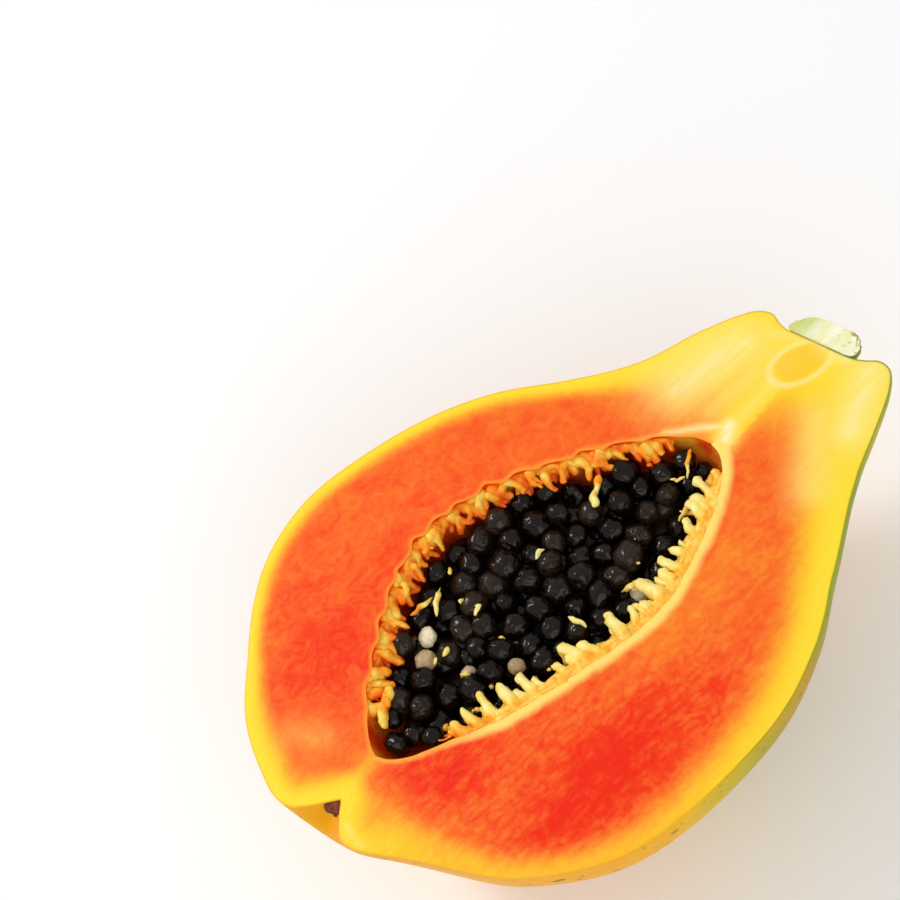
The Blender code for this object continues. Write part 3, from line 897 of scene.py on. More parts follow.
# %% The thick threads, at the places of the solid ones
THREADS, THREAD_ENDS, THREAD_STRAY, THREAD_SEED = 24, (-44.0, 33.0), 0.3, 4
THREAD_LENGTH, THREAD_ROOT, THREAD_RADIUS, THREAD_SIZES = (4.0, 8.6), 2.5, (1.9, 1.1), (0.85, 1.35)
THREAD_SIDEWAYS, THREAD_BEND = 2.6, (0.9, 0.4)
THREAD_ROOT_DROP, THREAD_TIP_DROP = (2.1, 2.9), (1.4, 2.6)
draw = random.Random(THREAD_SEED)
threads = []
for i in range(THREADS):
    stray = draw.uniform(-THREAD_STRAY, THREAD_STRAY)
    x = THREAD_ENDS[0] + (THREAD_ENDS[1] - THREAD_ENDS[0]) * (i + stray) / (THREADS - 1)
    length = draw.uniform(*THREAD_LENGTH)
    sideways = draw.uniform(-THREAD_SIDEWAYS, THREAD_SIDEWAYS)
    root = Vector((x, wall_at(x, NEAR) - THREAD_ROOT, -draw.uniform(*THREAD_ROOT_DROP)))
    tip = Vector((x + sideways, wall_at(x, NEAR) + length, -draw.uniform(*THREAD_TIP_DROP)))
    bend = Vector((draw.uniform(-THREAD_BEND[0], THREAD_BEND[0]), 0.0, THREAD_BEND[1]))
    size = draw.uniform(*THREAD_SIZES)
    threads.append(thread(root, tip, bend, THREAD_RADIUS[0] * size, THREAD_RADIUS[1] * size))
print(len(threads), "thick threads")

# %% Thinner threads between them, and the lip that all of them grow from
THIN_THREADS, THIN_ENDS, THIN_ROOT = 30, (-46.0, 37.0), 0.5
THIN_ROOT_DROP, THIN_TIP_DROP = (1.8, 3.4), (2.0, 4.4)
THIN_SIDEWAYS, THIN_LENGTH = 3.0, (2.6, 5.6)
THIN_AT_ROOT, THIN_AT_TIP = (1.0, 1.6), (0.5, 1.0)  # radii
draw = random.Random(21)
for _ in range(THIN_THREADS):
    x = draw.uniform(*THIN_ENDS)
    root = Vector((x, wall_at(x, NEAR) - THIN_ROOT, -draw.uniform(*THIN_ROOT_DROP)))
    sideways = draw.uniform(-THIN_SIDEWAYS, THIN_SIDEWAYS)
    length = draw.uniform(*THIN_LENGTH)
    tip = Vector((x + sideways, wall_at(x, NEAR) + length, -draw.uniform(*THIN_TIP_DROP)))
    bend = Vector((draw.uniform(-1.0, 1.0), 0.0, draw.uniform(0.0, 0.8)))
    threads.append(thread(root, tip, bend, draw.uniform(*THIN_AT_ROOT), draw.uniform(*THIN_AT_TIP)))
LIPS = [(0.5, 1.65, 1.5), (1.9, 2.5, 1.7), (3.0, 3.9, 1.6)]  # mm in from the rim, down, and radius
LIP_STEP, LIP_ENDS, LIP_STRAY, LIP_UNEVEN = 1.6, (-50.0, 41.0), 0.3, (-0.35, 0.3)
LIP_GROWS, LIP_FADES, LIP_BEVEL = (-54.0, -34.0), (43.0, 34.0), 4
for inward, drop, thick in LIPS:
    xs = np.arange(*LIP_ENDS, LIP_STEP)
    lip = [Vector((x, wall_at(x, NEAR) + inward + draw.uniform(-LIP_STRAY, LIP_STRAY), -drop)) for x in xs]
    radii = [thick + draw.uniform(*LIP_UNEVEN) for _ in xs]
    radii = [r * between(*LIP_GROWS, x) * between(*LIP_FADES, x) for r, x in zip(radii, xs)]
    threads.append(tube(lip, radii, LIP_BEVEL))
print(len(threads), "threads and lips on the near side")

# %% Curls on the far wall's ridges
CURL_STEP, CURL_ENDS, CURL_STRAY = 0.8, (-55.0, 38.0), 0.5  # mm
CURL_ROOT_DROP, CURL_TIP_DROP = (1.5, 2.6), (2.2, 5.2)
CURL_INWARD, CURL_GROWS, CURL_SIDEWAYS = (0.8, 5.0), (-62.0, -40.0), 3.6
CURL_BEND = (1.8, 0.8, 1.6)  # at most, along, across and up
CURL_AT_ROOT, CURL_AT_TIP = (0.9, 1.7), (0.5, 1.2)  # radii
draw = random.Random(5)
for place in np.arange(*CURL_ENDS, CURL_STEP):
    x = place + draw.uniform(-CURL_STRAY, CURL_STRAY)
    deep = pocket_wave(x, FAR)
    wall = wall_at(x, FAR)
    root = Vector((x, wall + 0.6 + 1.2 * deep, -draw.uniform(*CURL_ROOT_DROP) - 0.7 * deep))
    inward = draw.uniform(*CURL_INWARD) * between(*CURL_GROWS, x)
    sideways = draw.uniform(-CURL_SIDEWAYS, CURL_SIDEWAYS)
    tip = Vector((x + sideways, wall - inward, -draw.uniform(*CURL_TIP_DROP) - 0.8 * deep))
    along, across, up = CURL_BEND
    bend = Vector((draw.uniform(-along, along), draw.uniform(-across, across), draw.uniform(0.0, up)))
    threads.append(thread(root, tip, bend, draw.uniform(*CURL_AT_ROOT), draw.uniform(*CURL_AT_TIP)))
print(len(threads), "threads and curls")

# %% [markdown]
# A few strands have come loose and lie on the seeds. They are placed one by one, as lines from end to
# end, and lie just above the seeds there.

# %% Loose strands
LOOSE = [  # from (along, across) to (along, across), thickness in mm
    ((40.0, 6.6), (33.6, 2.4), 0.62),
    ((33.8, 2.8), (31.4, 4.2), 0.5),
    ((31.2, -3.0), (24.8, -4.6), 0.6),
    ((29.6, -6.6), (27.4, -2.8), 0.5),
    ((22.4, 17.0), (18.4, 14.2), 0.9),
    ((18.6, 14.6), (15.2, 11.0), 1.15),
    ((-22.0, 22.0), (-27.8, 17.0), 0.7),
    ((-25.0, 21.5), (-31.0, 21.0), 0.6),
    ((-47.0, 12.6), (-51.5, 9.4), 1.5),
    ((-51.5, 10.0), (-55.6, 6.0), 1.3),
    ((-14.4, -9.0), (-18.6, -14.0), 0.75),
    ((-9.0, -6.0), (-8.0, -10.6), 0.55),
    ((-22.0, 10.0), (-19.4, 12.4), 0.7),
    ((-2.6, 10.4), (0.2, 11.6), 0.6),
    ((4.0, -8.0), (8.8, -11.4), 0.8),
]


def seed_top(along, across):
    """How high the seeds are under a point of the straight fruit, in mm from the cut."""
    p = as_grown((along, across, 0.0))
    best = -BED_TOP
    for centre, size, _ in heap:
        radius = SEED_WIDE * size
        away = (centre.xy - p.xy).length
        if away < radius:
            best = max(best, centre.z + math.sqrt(radius**2 - away**2))
    return best


STRAND_SHARES = (0.3, 0.9, 1.0, 0.95, 0.8, 0.25)  # of its thickness, at its six places
STRAND_STRAY, STRAND_CLEAR = 0.4, 0.4  # mm aside, and below the cut
last = len(STRAND_SHARES) - 1
draw = random.Random(13)
for (x0, y0), (x1, y1), thick in LOOSE:
    path = []
    for k in range(last + 1):
        x, y = x0 + (x1 - x0) * k / last, y0 + (y1 - y0) * k / last
        aside = [draw.uniform(-STRAND_STRAY, STRAND_STRAY) for _ in range(2)]
        path.append(Vector((x + aside[0], y + aside[1], seed_top(x, y))))
    heights = [max(p.z for p in path[max(i - 1, 0) : i + 2]) for i in range(last + 1)]
    for p, z in zip(path, heights):
        p.z = min(z + thick * 0.5, -thick - STRAND_CLEAR)
    threads.append(tube(path, [thick * share for share in STRAND_SHARES]))
print(len(LOOSE), "loose strands")

# %% [markdown]
# Small crumbs of pulp lie among the seeds. They are too many to place by hand, so chance does it, but with
# a fixed seed: the fruit is the same each time.

# %% Crumbs of pulp among the seeds
CRUMBS, CRUMB_LONG, CRUMB_THICK = 26, (0.8, 2.2), (0.45, 0.8)
CRUMB_ENDS, CRUMB_ACROSS = (-50.0, 34.0), (-0.75, 0.85)  # mm along, and shares of the hollow's half width
CRUMB_SHARES = [(0.0, 0.2), (0.15, 0.8), (0.5, 1.0), (0.85, 0.8), (1.0, 0.2)]  # of its length and thickness
CRUMB_LOWEST, CRUMB_SUNK = -4.0, 0.2  # mm from the cut, and into the seeds
draw = random.Random(31)
for _ in range(CRUMBS):
    x = draw.uniform(*CRUMB_ENDS)
    y = hollow_middle(x) + draw.uniform(*CRUMB_ACROSS) * float(np.interp(x, *wall_widths.T))
    turn, long, thick = draw.uniform(0.0, math.tau), draw.uniform(*CRUMB_LONG), draw.uniform(*CRUMB_THICK)
    on = Vector((math.cos(turn), math.sin(turn), 0.0)) * long
    at = Vector((x, y, min(seed_top(x, y), CRUMB_LOWEST) - CRUMB_SUNK))
    path = [at + on * share for share, _ in CRUMB_SHARES]
    threads.append(tube(path, [thick * share for _, share in CRUMB_SHARES]))
print(CRUMBS, "crumbs")

# %% [markdown]
# All tubes become one mesh. Soft pulp is never as even as a bevelled curve, so noise moves its points. This
# noise of three numbers starts from a seed, which is set first: without that, each run has other lumps. The
# pulp's colour follows its place: `cream_and_depth_shade` is high at the tips and near the cut, and low at
# the roots and deep down, where the pulp is orange. At the roots that orange is partly the pulp's own
# colour; deep down it is painted shade.

# %% One mesh of pulp, a little uneven
SAME_PLACE = 0.01 * MM
alone(*threads)
bpy.ops.object.convert(target="MESH")
pulp = joined("pulp_threads", threads)
bpy.ops.object.transform_apply(location=True, rotation=True, scale=True)
bpy.ops.object.mode_set(mode="EDIT")
bpy.ops.mesh.select_all(action="SELECT")
bpy.ops.mesh.remove_doubles(threshold=SAME_PLACE)
face_outwards()
UNEVEN, UNEVEN_FINE = (0.62 * MM, 2.3 * MM), (0.22 * MM, 0.9 * MM)  # how much, and over what length
UNEVEN_SEED = 1


def uneven(p):
    """A point moved a little, but never above the cut."""
    moved = p.copy()
    for much, length in (UNEVEN, UNEVEN_FINE):
        moved += Vector(noise.noise_vector(p / length)) * much
    moved.z = min(moved.z, FACE_UP - 0.1 * MM)
    return moved


noise.seed_set(UNEVEN_SEED)
shape(pulp, uneven)
pulp.data.shade_smooth()
# the first pair, in mm from the cut, is where painted shade turns deep pulp orange
DEPTH_SHADE_RANGE, TIPS, OPEN_SEEDS, BLOSSOM_ORANGE = (-4.6, -1.0), (1.2, 5.5), (7.0, 9.0), (30.0, 50.0)  # mm


def cream_and_painted_shade(place):
    """0 where pulp is orange, 1 where it is pale yellow; the orange deep down is painted shade."""
    along, across = straight(place)
    off = distance_mm(rim_edge, place)
    # painted shade: pulp more than a few mm below the cut is painted orange, as pulp in shade looks
    high = between(*DEPTH_SHADE_RANGE, (place.z - FACE_UP) / MM)
    if across < hollow_middle(along):
        near = 0.24 + 0.22 * high + 0.36 * between(*TIPS, off)
        return near - 0.16 * between(*BLOSSOM_ORANGE, -along)
    ridge = 1.0 - pocket_wave(along, FAR)
    return 0.04 + 0.16 * high + 0.34 * ridge * high + 0.6 * between(*OPEN_SEEDS, off)


write_attribute(pulp, "cream_and_depth_shade", [cream_and_painted_shade(v.co) for v in pulp.data.vertices])
print("pulp_threads:", len(pulp.data.vertices), "points")

# %% [markdown]
# ## The stalk's stub
#
# What is left of the stalk is cut through with the fruit: half of a short, fluted plug, pale and fibrous
# where it is cut, green outside, with a dried brown end. It starts as a whole sphere. Its lower half goes
# to the outline, and its upper half is pressed flat, which gives the cut face a grid of its own.

# %% Turn the stub
STUB_FLUTE, STUB_FLUTES, STUB_FLUTED = 0.35, 7, (2.0, 7.0)
STUB_ROUGH, STUB_TORN = 0.45, (79.0, 82.0)  # mm of relief at the broken end, and where that starts
STUB_SUNK, STUB_GRAIN = 0.30, (3.0, 0.7)  # mm of relief on the cut, and how long and wide a fibre is
STUB_SIDES, STUB_RINGS = 96, 60
stub_at = by_length(stub_line)


def stub_point(p):
    x, r = stub_at(math.atan2(math.hypot(p.y, p.z), p.x) / math.pi)
    around = math.atan2(p.z, p.y)
    flute = STUB_FLUTE * math.cos(STUB_FLUTES * around) * between(*STUB_FLUTED, r) if around < 0.0 else 0.0
    y, z = (r + flute) * math.cos(around), min((r + flute) * math.sin(around), 0.0)
    torn = between(*STUB_TORN, x)
    rough = STUB_ROUGH * (noise.noise(Vector((x, y, around)) / 0.9) * torn - 0.4 * torn)
    fibre = 0.5 + 0.5 * noise.noise(Vector((x / STUB_GRAIN[0], y / STUB_GRAIN[1], 2.0)))
    sunk = STUB_SUNK * fibre if around > 0.0 else 0.0
    return home(as_grown((x + rough, y, z - sunk)))


stub = ball("stalk_stub", STUB_SIDES, STUB_RINGS)
shape(stub, stub_point)
EDGE_ANGLE = math.radians(50.0)  # steeper edges than this stay sharp
bpy.ops.object.shade_smooth_by_angle(angle=EDGE_ANGLE)
print("stalk_stub:", len(stub.data.vertices), "points")

# %% [markdown]
# At the bottom of the dimple sits what the blossom left: a small, dried, dark brown scar.

# %% The blossom's scar
SCAR_AT, SCAR_SIZE, SCAR_TOP = Vector((-75.8, 0.5, -1.9)), Vector((2.4, 3.4, 2.2)), -0.30  # mm
bpy.ops.object.select_all(action="DESELECT")
bpy.ops.mesh.primitive_ico_sphere_add(subdivisions=4, radius=1.0)
scar = named("blossom_scar")


def scar_point(p):
    crumpled = p * (1.0 + 0.35 * noise.noise(p * 2.3) + 0.18 * noise.noise(p * 6.0))
    at = SCAR_AT + crumpled * SCAR_SIZE
    return home(as_grown((at.x, at.y, min(at.z, SCAR_TOP))))


shape(scar, scar_point)
scar.data.shade_smooth()
print("the scar is", [round(2.0 * c, 1) for c in SCAR_SIZE], "mm")

# %% [markdown]
# ## Materials
#
# Fresh fruit is wet and lets a little light in: a soft glow under the surface, a thin clear coat, and fine
# relief. Colours come from the attributes, and noise breaks them up so that no edge between them is clean.


# %% Helpers for shader nodes
def node(tree, kind, **values):
    made = tree.nodes.new(kind)
    for key, value in values.items():
        setattr(made, key, value)
    return made


def feed(tree, socket, given):
    """Gives a socket another node's output, a colour or a number."""
    if isinstance(given, bpy.types.NodeSocket):
        tree.links.new(given, socket)
    elif isinstance(given, tuple) and len(given) == 3 and socket.type == "RGBA":
        socket.default_value = (*given, 1.0)
    else:
        socket.default_value = given


def attribute(tree, name):
    return node(tree, "ShaderNodeAttribute", attribute_name=name).outputs["Fac"]


def calc(tree, operation, *given, clamp=False):
    made = node(tree, "ShaderNodeMath", operation=operation, use_clamp=clamp)
    for socket, value in zip(made.inputs, given):
        feed(tree, socket, value)
    return made.outputs["Value"]


def remap(tree, source, low, high, to_low=0.0, to_high=1.0):
    """A value moved from one range to another, and kept in it."""
    made = node(tree, "ShaderNodeMapRange", interpolation_type="SMOOTHSTEP")
    names = ("Value", "From Min", "From Max", "To Min", "To Max")
    for name, given in zip(names, (source, low, high, to_low, to_high)):
        feed(tree, made.inputs[name], given)
    return made.outputs["Result"]


def ramp(tree, source, *stops):
    """Colours along a value: stops are (place, colour)."""
    made = node(tree, "ShaderNodeValToRGB")
    bar = made.color_ramp.elements
    while len(bar) < len(stops):
        bar.new(0.5)
    for element, (place, colour) in zip(bar, stops):
        element.position = place
        element.color = (*colour, 1.0)
    feed(tree, made.inputs["Fac"], source)
    return made.outputs["Color"]


def mix(tree, factor, a, b, blend="MIX"):
    made = node(tree, "ShaderNodeMix", data_type="RGBA", blend_type=blend)
    for index, given in ((0, factor), (6, a), (7, b)):
        feed(tree, made.inputs[index], given)
    return made.outputs[2]


def object_coordinates(tree, stretch=(1.0, 1.0, 1.0), turn=0.0):
    mapping = node(tree, "ShaderNodeMapping")
    mapping.inputs["Scale"].default_value = stretch
    mapping.inputs["Rotation"].default_value = (0.0, 0.0, turn)
    feed(tree, mapping.inputs["Vector"], node(tree, "ShaderNodeTexCoord").outputs["Object"])
    return mapping.outputs["Vector"]


def clouds(tree, scale, detail=3.0, roughness=0.55, stretch=(1.0, 1.0, 1.0), distortion=0.0):
    """Noise with this many lumps a metre."""
    made = node(tree, "ShaderNodeTexNoise")
    names = ("Scale", "Detail", "Roughness", "Distortion")
    for name, given in zip(names, (scale, detail, roughness, distortion)):
        feed(tree, made.inputs[name], given)
    feed(tree, made.inputs["Vector"], object_coordinates(tree, stretch))
    return made.outputs["Fac"]


def stirred(tree, value, grain, much):
    """A value from 0 to 1 that noise moves up and down alike."""
    return calc(tree, "MULTIPLY_ADD", calc(tree, "SUBTRACT", grain, 0.5), much, value, clamp=True)


def object_place(tree):
    """Where a point is, as outputs X, Y and Z."""
    made = node(tree, "ShaderNodeSeparateXYZ")
    feed(tree, made.inputs["Vector"], node(tree, "ShaderNodeTexCoord").outputs["Object"])
    return made.outputs


def bump(tree, height, distance, strength=1.0, before=None):
    made = node(tree, "ShaderNodeBump")
    made.inputs["Strength"].default_value = strength
    made.inputs["Distance"].default_value = distance
    feed(tree, made.inputs["Height"], height)
    if before is not None:
        feed(tree, made.inputs["Normal"], before)
    return made.outputs["Normal"]


def finish(name):
    """A material of this name with its node tree and its shader."""
    made = bpy.data.materials.get(name) or bpy.data.materials.new(name)
    made.use_nodes = True
    return made, made.node_tree, made.node_tree.nodes["Principled BSDF"]


def counted(material):
    """The material itself, after a line about it."""
    print(material.name, "is made of", len(material.node_tree.nodes), "nodes")
    return material


def set_shader(shader, **values):
    for key, value in values.items():
        shader.inputs[key.replace("_", " ")].default_value = value


# %% [markdown]
# Flesh, wall, skin and pulp share the same wet grain: a film of juice over tiny cells. It is a node group
# with the size of the grain and the two ends of its roughness as inputs, so each material sets its own.


# %% Group: wet grain
def make_group(name, inputs, outputs):
    """An empty group with float inputs, given as (name, default), and float outputs."""
    group = bpy.data.node_groups.new(name, "ShaderNodeTree")
    for title, default in inputs:
        socket = group.interface.new_socket(title, in_out="INPUT", socket_type="NodeSocketFloat")
        socket.default_value = default
    for title in outputs:
        group.interface.new_socket(title, in_out="OUTPUT", socket_type="NodeSocketFloat")
    return group, group.nodes.new("NodeGroupInput"), group.nodes.new("NodeGroupOutput")


GRAIN_INPUTS = [("Lumps a metre", 900.0), ("Smoothest", 0.25), ("Roughest", 0.45)]
wet_grain, given, result = make_group("wet grain", GRAIN_INPUTS, ["Height", "Roughness"])
grain_noise = clouds(wet_grain, given.outputs["Lumps a metre"], 3.0, 0.6)
grain_rough = remap(wet_grain, grain_noise, 0.3, 0.7, given.outputs["Smoothest"], given.outputs["Roughest"])
feed(wet_grain, result.inputs["Height"], grain_noise)
feed(wet_grain, result.inputs["Roughness"], grain_rough)
print("wet grain:", len(wet_grain.nodes), "nodes")


def place_group(tree, group, **values):
    made = node(tree, "ShaderNodeGroup", node_tree=group)
    for key, value in values.items():
        feed(tree, made.inputs[key.replace("_", " ")], value)
    return made.outputs


def wet_surface(tree, shader, lumps, roughness, relief, normal=None):
    """Wet grain: lumps a metre, (smoothest, roughest), and (distance, strength) of its relief."""
    smoothest, roughest = roughness
    wet = place_group(tree, wet_grain, Lumps_a_metre=lumps, Smoothest=smoothest, Roughest=roughest)
    feed(tree, shader.inputs["Roughness"], wet["Roughness"])
    feed(tree, shader.inputs["Normal"], bump(tree, wet["Height"], *relief, normal))


# %% [markdown]
# The skin has flecks of two sizes, some here and some there, so they are a group too, placed twice. A
# Voronoi texture gives each cell a dot in its middle, and the cell's own random colour decides whether the
# dot is there and how large it is.

# %% Group: flecks
FLECK_INPUTS = [("Cells a metre", 200.0), ("Dot size", 0.3), ("Share of cells", 0.3)]
flecks, given, result = make_group("flecks", FLECK_INPUTS, ["Mask"])
cells = node(flecks, "ShaderNodeTexVoronoi", feature="F1")
feed(flecks, cells.inputs["Vector"], object_coordinates(flecks))
feed(flecks, cells.inputs["Scale"], given.outputs["Cells a metre"])
tone = node(flecks, "ShaderNodeSeparateColor")
feed(flecks, tone.inputs["Color"], cells.outputs["Color"])
there = calc(flecks, "LESS_THAN", tone.outputs["Red"], given.outputs["Share of cells"])
size = calc(flecks, "MULTIPLY_ADD", tone.outputs["Green"], 0.6, 0.4)
size = calc(flecks, "MULTIPLY", size, given.outputs["Dot size"])
dot = calc(flecks, "SUBTRACT", 1.0, calc(flecks, "DIVIDE", cells.outputs["Distance"], size))
feed(flecks, result.inputs["Mask"], calc(flecks, "MULTIPLY", remap(flecks, dot, 0.0, 0.5), there))
print("flecks:", len(flecks.nodes), "nodes")

# %% [markdown]
# ### The flesh
#
# `ripe` picks the colour between yellow and red. Soft blotches, torn veins and small cells shift it first,
# the cells only where the flesh is grainy, so the colour and the relief of a cell agree. Over that come the
# oval with its ring, the pale fibres and two painted highlights, the rim of the hollow and the thin line of
# skin.

# %% The flesh of the cut face
RIPENING = [  # how ripe, and its colour
    (0.0, (0.98, 0.72, 0.035)),
    (0.12, (0.98, 0.60, 0.022)),
    (0.28, (0.97, 0.40, 0.022)),
    (0.46, (0.95, 0.230, 0.018)),
    (0.64, (0.93, 0.130, 0.012)),
    (0.82, (0.90, 0.050, 0.004)),
    (1.0, (0.86, 0.020, 0.001)),
]
OVAL_GOLD, RIM_ORANGE, RIM_PALE = (0.98, 0.58, 0.030), (0.97, 0.33, 0.03), (0.99, 0.74, 0.17)
PALE_CREAM_AND_HIGHLIGHT, FIBRE_AND_HIGHLIGHT_YELLOW, LEAF = (0.98, 0.90, 0.52), (0.99, 0.83, 0.24), (0.17, 0.27, 0.008)


def cell_pattern(tree, scale):
    """Small pillowy cells, 1 in their middles and 0 in the creases between them."""
    warp = node(tree, "ShaderNodeTexNoise")
    feed(tree, warp.inputs["Vector"], object_coordinates(tree))
    warp.inputs["Scale"].default_value = 260.0
    moved = node(tree, "ShaderNodeVectorMath", operation="MULTIPLY_ADD")
    feed(tree, moved.inputs[0], warp.outputs["Color"])
    moved.inputs[1].default_value = (0.003, 0.003, 0.0)
    feed(tree, moved.inputs[2], object_coordinates(tree, (0.42, 1.25, 1.0), math.radians(-24.0)))
    cells = node(tree, "ShaderNodeTexVoronoi", feature="F1")
    feed(tree, cells.inputs["Vector"], moved.outputs["Vector"])
    cells.inputs["Scale"].default_value = scale
    return remap(tree, cells.outputs["Distance"], 0.1, 0.8, 1.0, 0.0)


def make_flesh():
    material, tree, shader = finish("flesh")
    ripe = attribute(tree, "ripe")
    grain = attribute(tree, "grainy")
    blotch = calc(tree, "SUBTRACT", clouds(tree, 90.0, 4.0, 0.6, distortion=0.8), 0.5)
    cell = cell_pattern(tree, 520.0)
    shift = calc(tree, "MULTIPLY", calc(tree, "SUBTRACT", 0.5, cell), grain)
    ripe = calc(tree, "MULTIPLY_ADD", blotch, calc(tree, "MULTIPLY", ripe, 0.55), ripe)
    vein = calc(tree, "SUBTRACT", clouds(tree, 240.0, 5.0, 0.7, distortion=1.5), 0.5)
    ripe = calc(tree, "MULTIPLY_ADD", vein, calc(tree, "MULTIPLY", ripe, 0.85), ripe)
    ripe = calc(tree, "MULTIPLY_ADD", shift, calc(tree, "MULTIPLY", ripe, 0.20), ripe, clamp=True)
    colour = ramp(tree, ripe, *RIPENING)
    oval = attribute(tree, "oval")
    ring = calc(tree, "MULTIPLY", remap(tree, oval, 0.94, 1.08), remap(tree, oval, 1.18, 1.42, 1.0, 0.0))
    colour = mix(tree, calc(tree, "MULTIPLY", ring, 0.35), colour, PALE_CREAM_AND_HIGHLIGHT)
    colour = mix(tree, remap(tree, oval, 0.80, 1.08, 0.8, 0.0), colour, OVAL_GOLD)
    fibre = clouds(tree, 700.0, 3.0, 0.6, stretch=(0.12, 1.0, 1.0))
    # `pale` brings in the pale fibres and two painted highlights
    pale = calc(tree, "MULTIPLY", attribute(tree, "pale"), remap(tree, fibre, 0.25, 0.6, 0.75, 1.0))
    colour = mix(tree, pale, colour, mix(tree, remap(tree, pale, 0.5, 1.0), FIBRE_AND_HIGHLIGHT_YELLOW, PALE_CREAM_AND_HIGHLIGHT))
    off = calc(tree, "MULTIPLY_ADD", blotch, 1.2, attribute(tree, "off_hollow"))
    lower = attribute(tree, "lower")
    full = calc(tree, "MULTIPLY_ADD", lower, 0.9, 0.1)
    wide = calc(tree, "MULTIPLY_ADD", lower, 2.1, 1.3)
    most = calc(tree, "MULTIPLY_ADD", lower, 0.15, 0.8)
    rim_colour = mix(tree, lower, RIM_ORANGE, RIM_PALE)
    colour = mix(tree, remap(tree, off, full, wide, most, 0.0), colour, rim_colour)
    rind = ramp(tree, attribute(tree, "green"), (0.15, (0.90, 0.50, 0.012)), (0.75, LEAF))
    colour = mix(tree, remap(tree, attribute(tree, "under_skin"), 0.2, 0.6, 0.85, 0.0), colour, rind)
    feed(tree, shader.inputs["Base Color"], colour)
    normal = bump(tree, calc(tree, "MULTIPLY", cell, grain), 0.0002, 0.45)
    wet_surface(tree, shader, 900.0, (0.30, 0.50), (0.0001, 0.4), normal)
    set_shader(
        shader,
        Subsurface_Weight=0.12,
        Subsurface_Radius=(1.0, 0.45, 0.2),
        Subsurface_Scale=0.002,
        Specular_IOR_Level=0.16,
        Coat_Weight=0.03,
        Coat_Roughness=0.2,
    )
    return material


counted(make_flesh())

# %% [markdown]
# ### The wall of the hollow
#
# The ridges are orange, and the pockets between them red: partly the wall's own colour, partly painted
# shade in the recesses. Further down all of it is painted a deeper red, painted shade for the dim light
# that reaches there after it has passed through flesh.


# %% The hollow's wall
def make_wall():
    material, tree, shader = finish("wall")
    patch = clouds(tree, 330.0, 3.0)
    pocket = stirred(tree, attribute(tree, "pocket"), patch, 1.1)
    # painted shade, in part: ridges orange, pockets a darker red that is partly the wall's own colour
    far = ramp(
        tree,
        pocket,
        (0.0, (0.98, 0.42, 0.030)),
        (0.25, (0.98, 0.27, 0.012)),
        (0.55, (0.95, 0.12, 0.006)),
        (1.0, (0.86, 0.040, 0.003)),
    )
    near = ramp(tree, patch, (0.3, (0.95, 0.17, 0.010)), (0.65, (0.98, 0.38, 0.035)))
    colour = mix(tree, attribute(tree, "lower"), far, near)
    # painted shade: from 3 mm below the cut down to 11 mm the wall is painted a deeper red
    under = remap(tree, object_place(tree)["Z"], FACE_UP - 11.0 * MM, FACE_UP - 3.0 * MM, 0.92, 0.0)
    colour = mix(tree, under, colour, (0.80, 0.065, 0.003))
    feed(tree, shader.inputs["Base Color"], colour)
    wet_surface(tree, shader, 1000.0, (0.22, 0.42), (0.0002, 0.5), bump(tree, patch, 0.0008, 0.7))
    set_shader(
        shader,
        Subsurface_Weight=0.08,
        Subsurface_Radius=(1.0, 0.4, 0.15),
        Subsurface_Scale=0.0008,
        Specular_IOR_Level=0.2,
        Coat_Weight=0.05,
        Coat_Roughness=0.15,
    )
    return material


counted(make_wall())

# %% [markdown]
# ### The skin
#
# Ripe skin is golden with a waxy, low gloss. Where `green` is high it is still olive, and everywhere it
# has dark green flecks, more of them in some patches, and fine pores.


# %% The skin
def make_skin():
    material, tree, shader = finish("skin")
    cloud = clouds(tree, 34.0, 4.0, 0.6, stretch=(0.5, 1.0, 1.0))
    green = stirred(tree, attribute(tree, "green"), cloud, 0.9)
    colour = ramp(
        tree,
        green,
        (0.0, (0.90, 0.40, 0.004)),
        (0.28, (0.84, 0.47, 0.006)),
        (0.60, (0.56, 0.44, 0.010)),
        (1.0, (0.26, 0.33, 0.014)),
    )
    warm = remap(tree, clouds(tree, 22.0, 3.0), 0.45, 0.7, 0.0, 0.5)
    colour = mix(tree, warm, colour, (0.88, 0.27, 0.003))
    patchy = remap(tree, clouds(tree, 30.0, 2.0), 0.48, 0.62)
    large = place_group(tree, flecks, Cells_a_metre=190.0, Dot_size=0.36, Share_of_cells=0.55)["Mask"]
    small = place_group(tree, flecks, Cells_a_metre=430.0, Dot_size=0.34, Share_of_cells=0.30)["Mask"]
    dots = calc(tree, "MAXIMUM", calc(tree, "MULTIPLY", large, patchy), calc(tree, "MULTIPLY", small, 0.6))
    colour = mix(tree, calc(tree, "MULTIPLY", dots, 0.8), colour, (0.11, 0.12, 0.010))
    feed(tree, shader.inputs["Base Color"], colour)
    normal = bump(tree, clouds(tree, 130.0, 3.0), 0.0009, 0.35)
    wet_surface(tree, shader, 800.0, (0.32, 0.46), (0.0001, 0.5), normal)
    set_shader(shader, Specular_IOR_Level=0.02, Subsurface_Weight=0.04, Subsurface_Scale=0.001)
    set_shader(shader, Coat_Weight=0.12, Coat_Roughness=0.28)
    return material


counted(make_skin())

# %% [markdown]
# ### Seeds, pulp, stalk and scar
#
# The black coat is dull in its creases and glossy on its ridges, and no two seeds have quite the same
# tone. Pulp lets light in too, but its threads are thin: with a long subsurface radius the red light would
# leave them on the far side and turn their roots green, so the radius is short, and the orange of thick
# pulp is painted with `cream_and_depth_shade` instead. The stalk and the scar are dry.


# %% Seed coats
BLACK_COAT = [(0.2, (0.001, 0.001, 0.001)), (0.6, (0.004, 0.002, 0.001)), (0.95, (0.034, 0.020, 0.012))]
PALE_COAT = [(0.2, (0.30, 0.19, 0.09)), (0.5, (0.56, 0.40, 0.20)), (0.9, (0.92, 0.84, 0.58))]


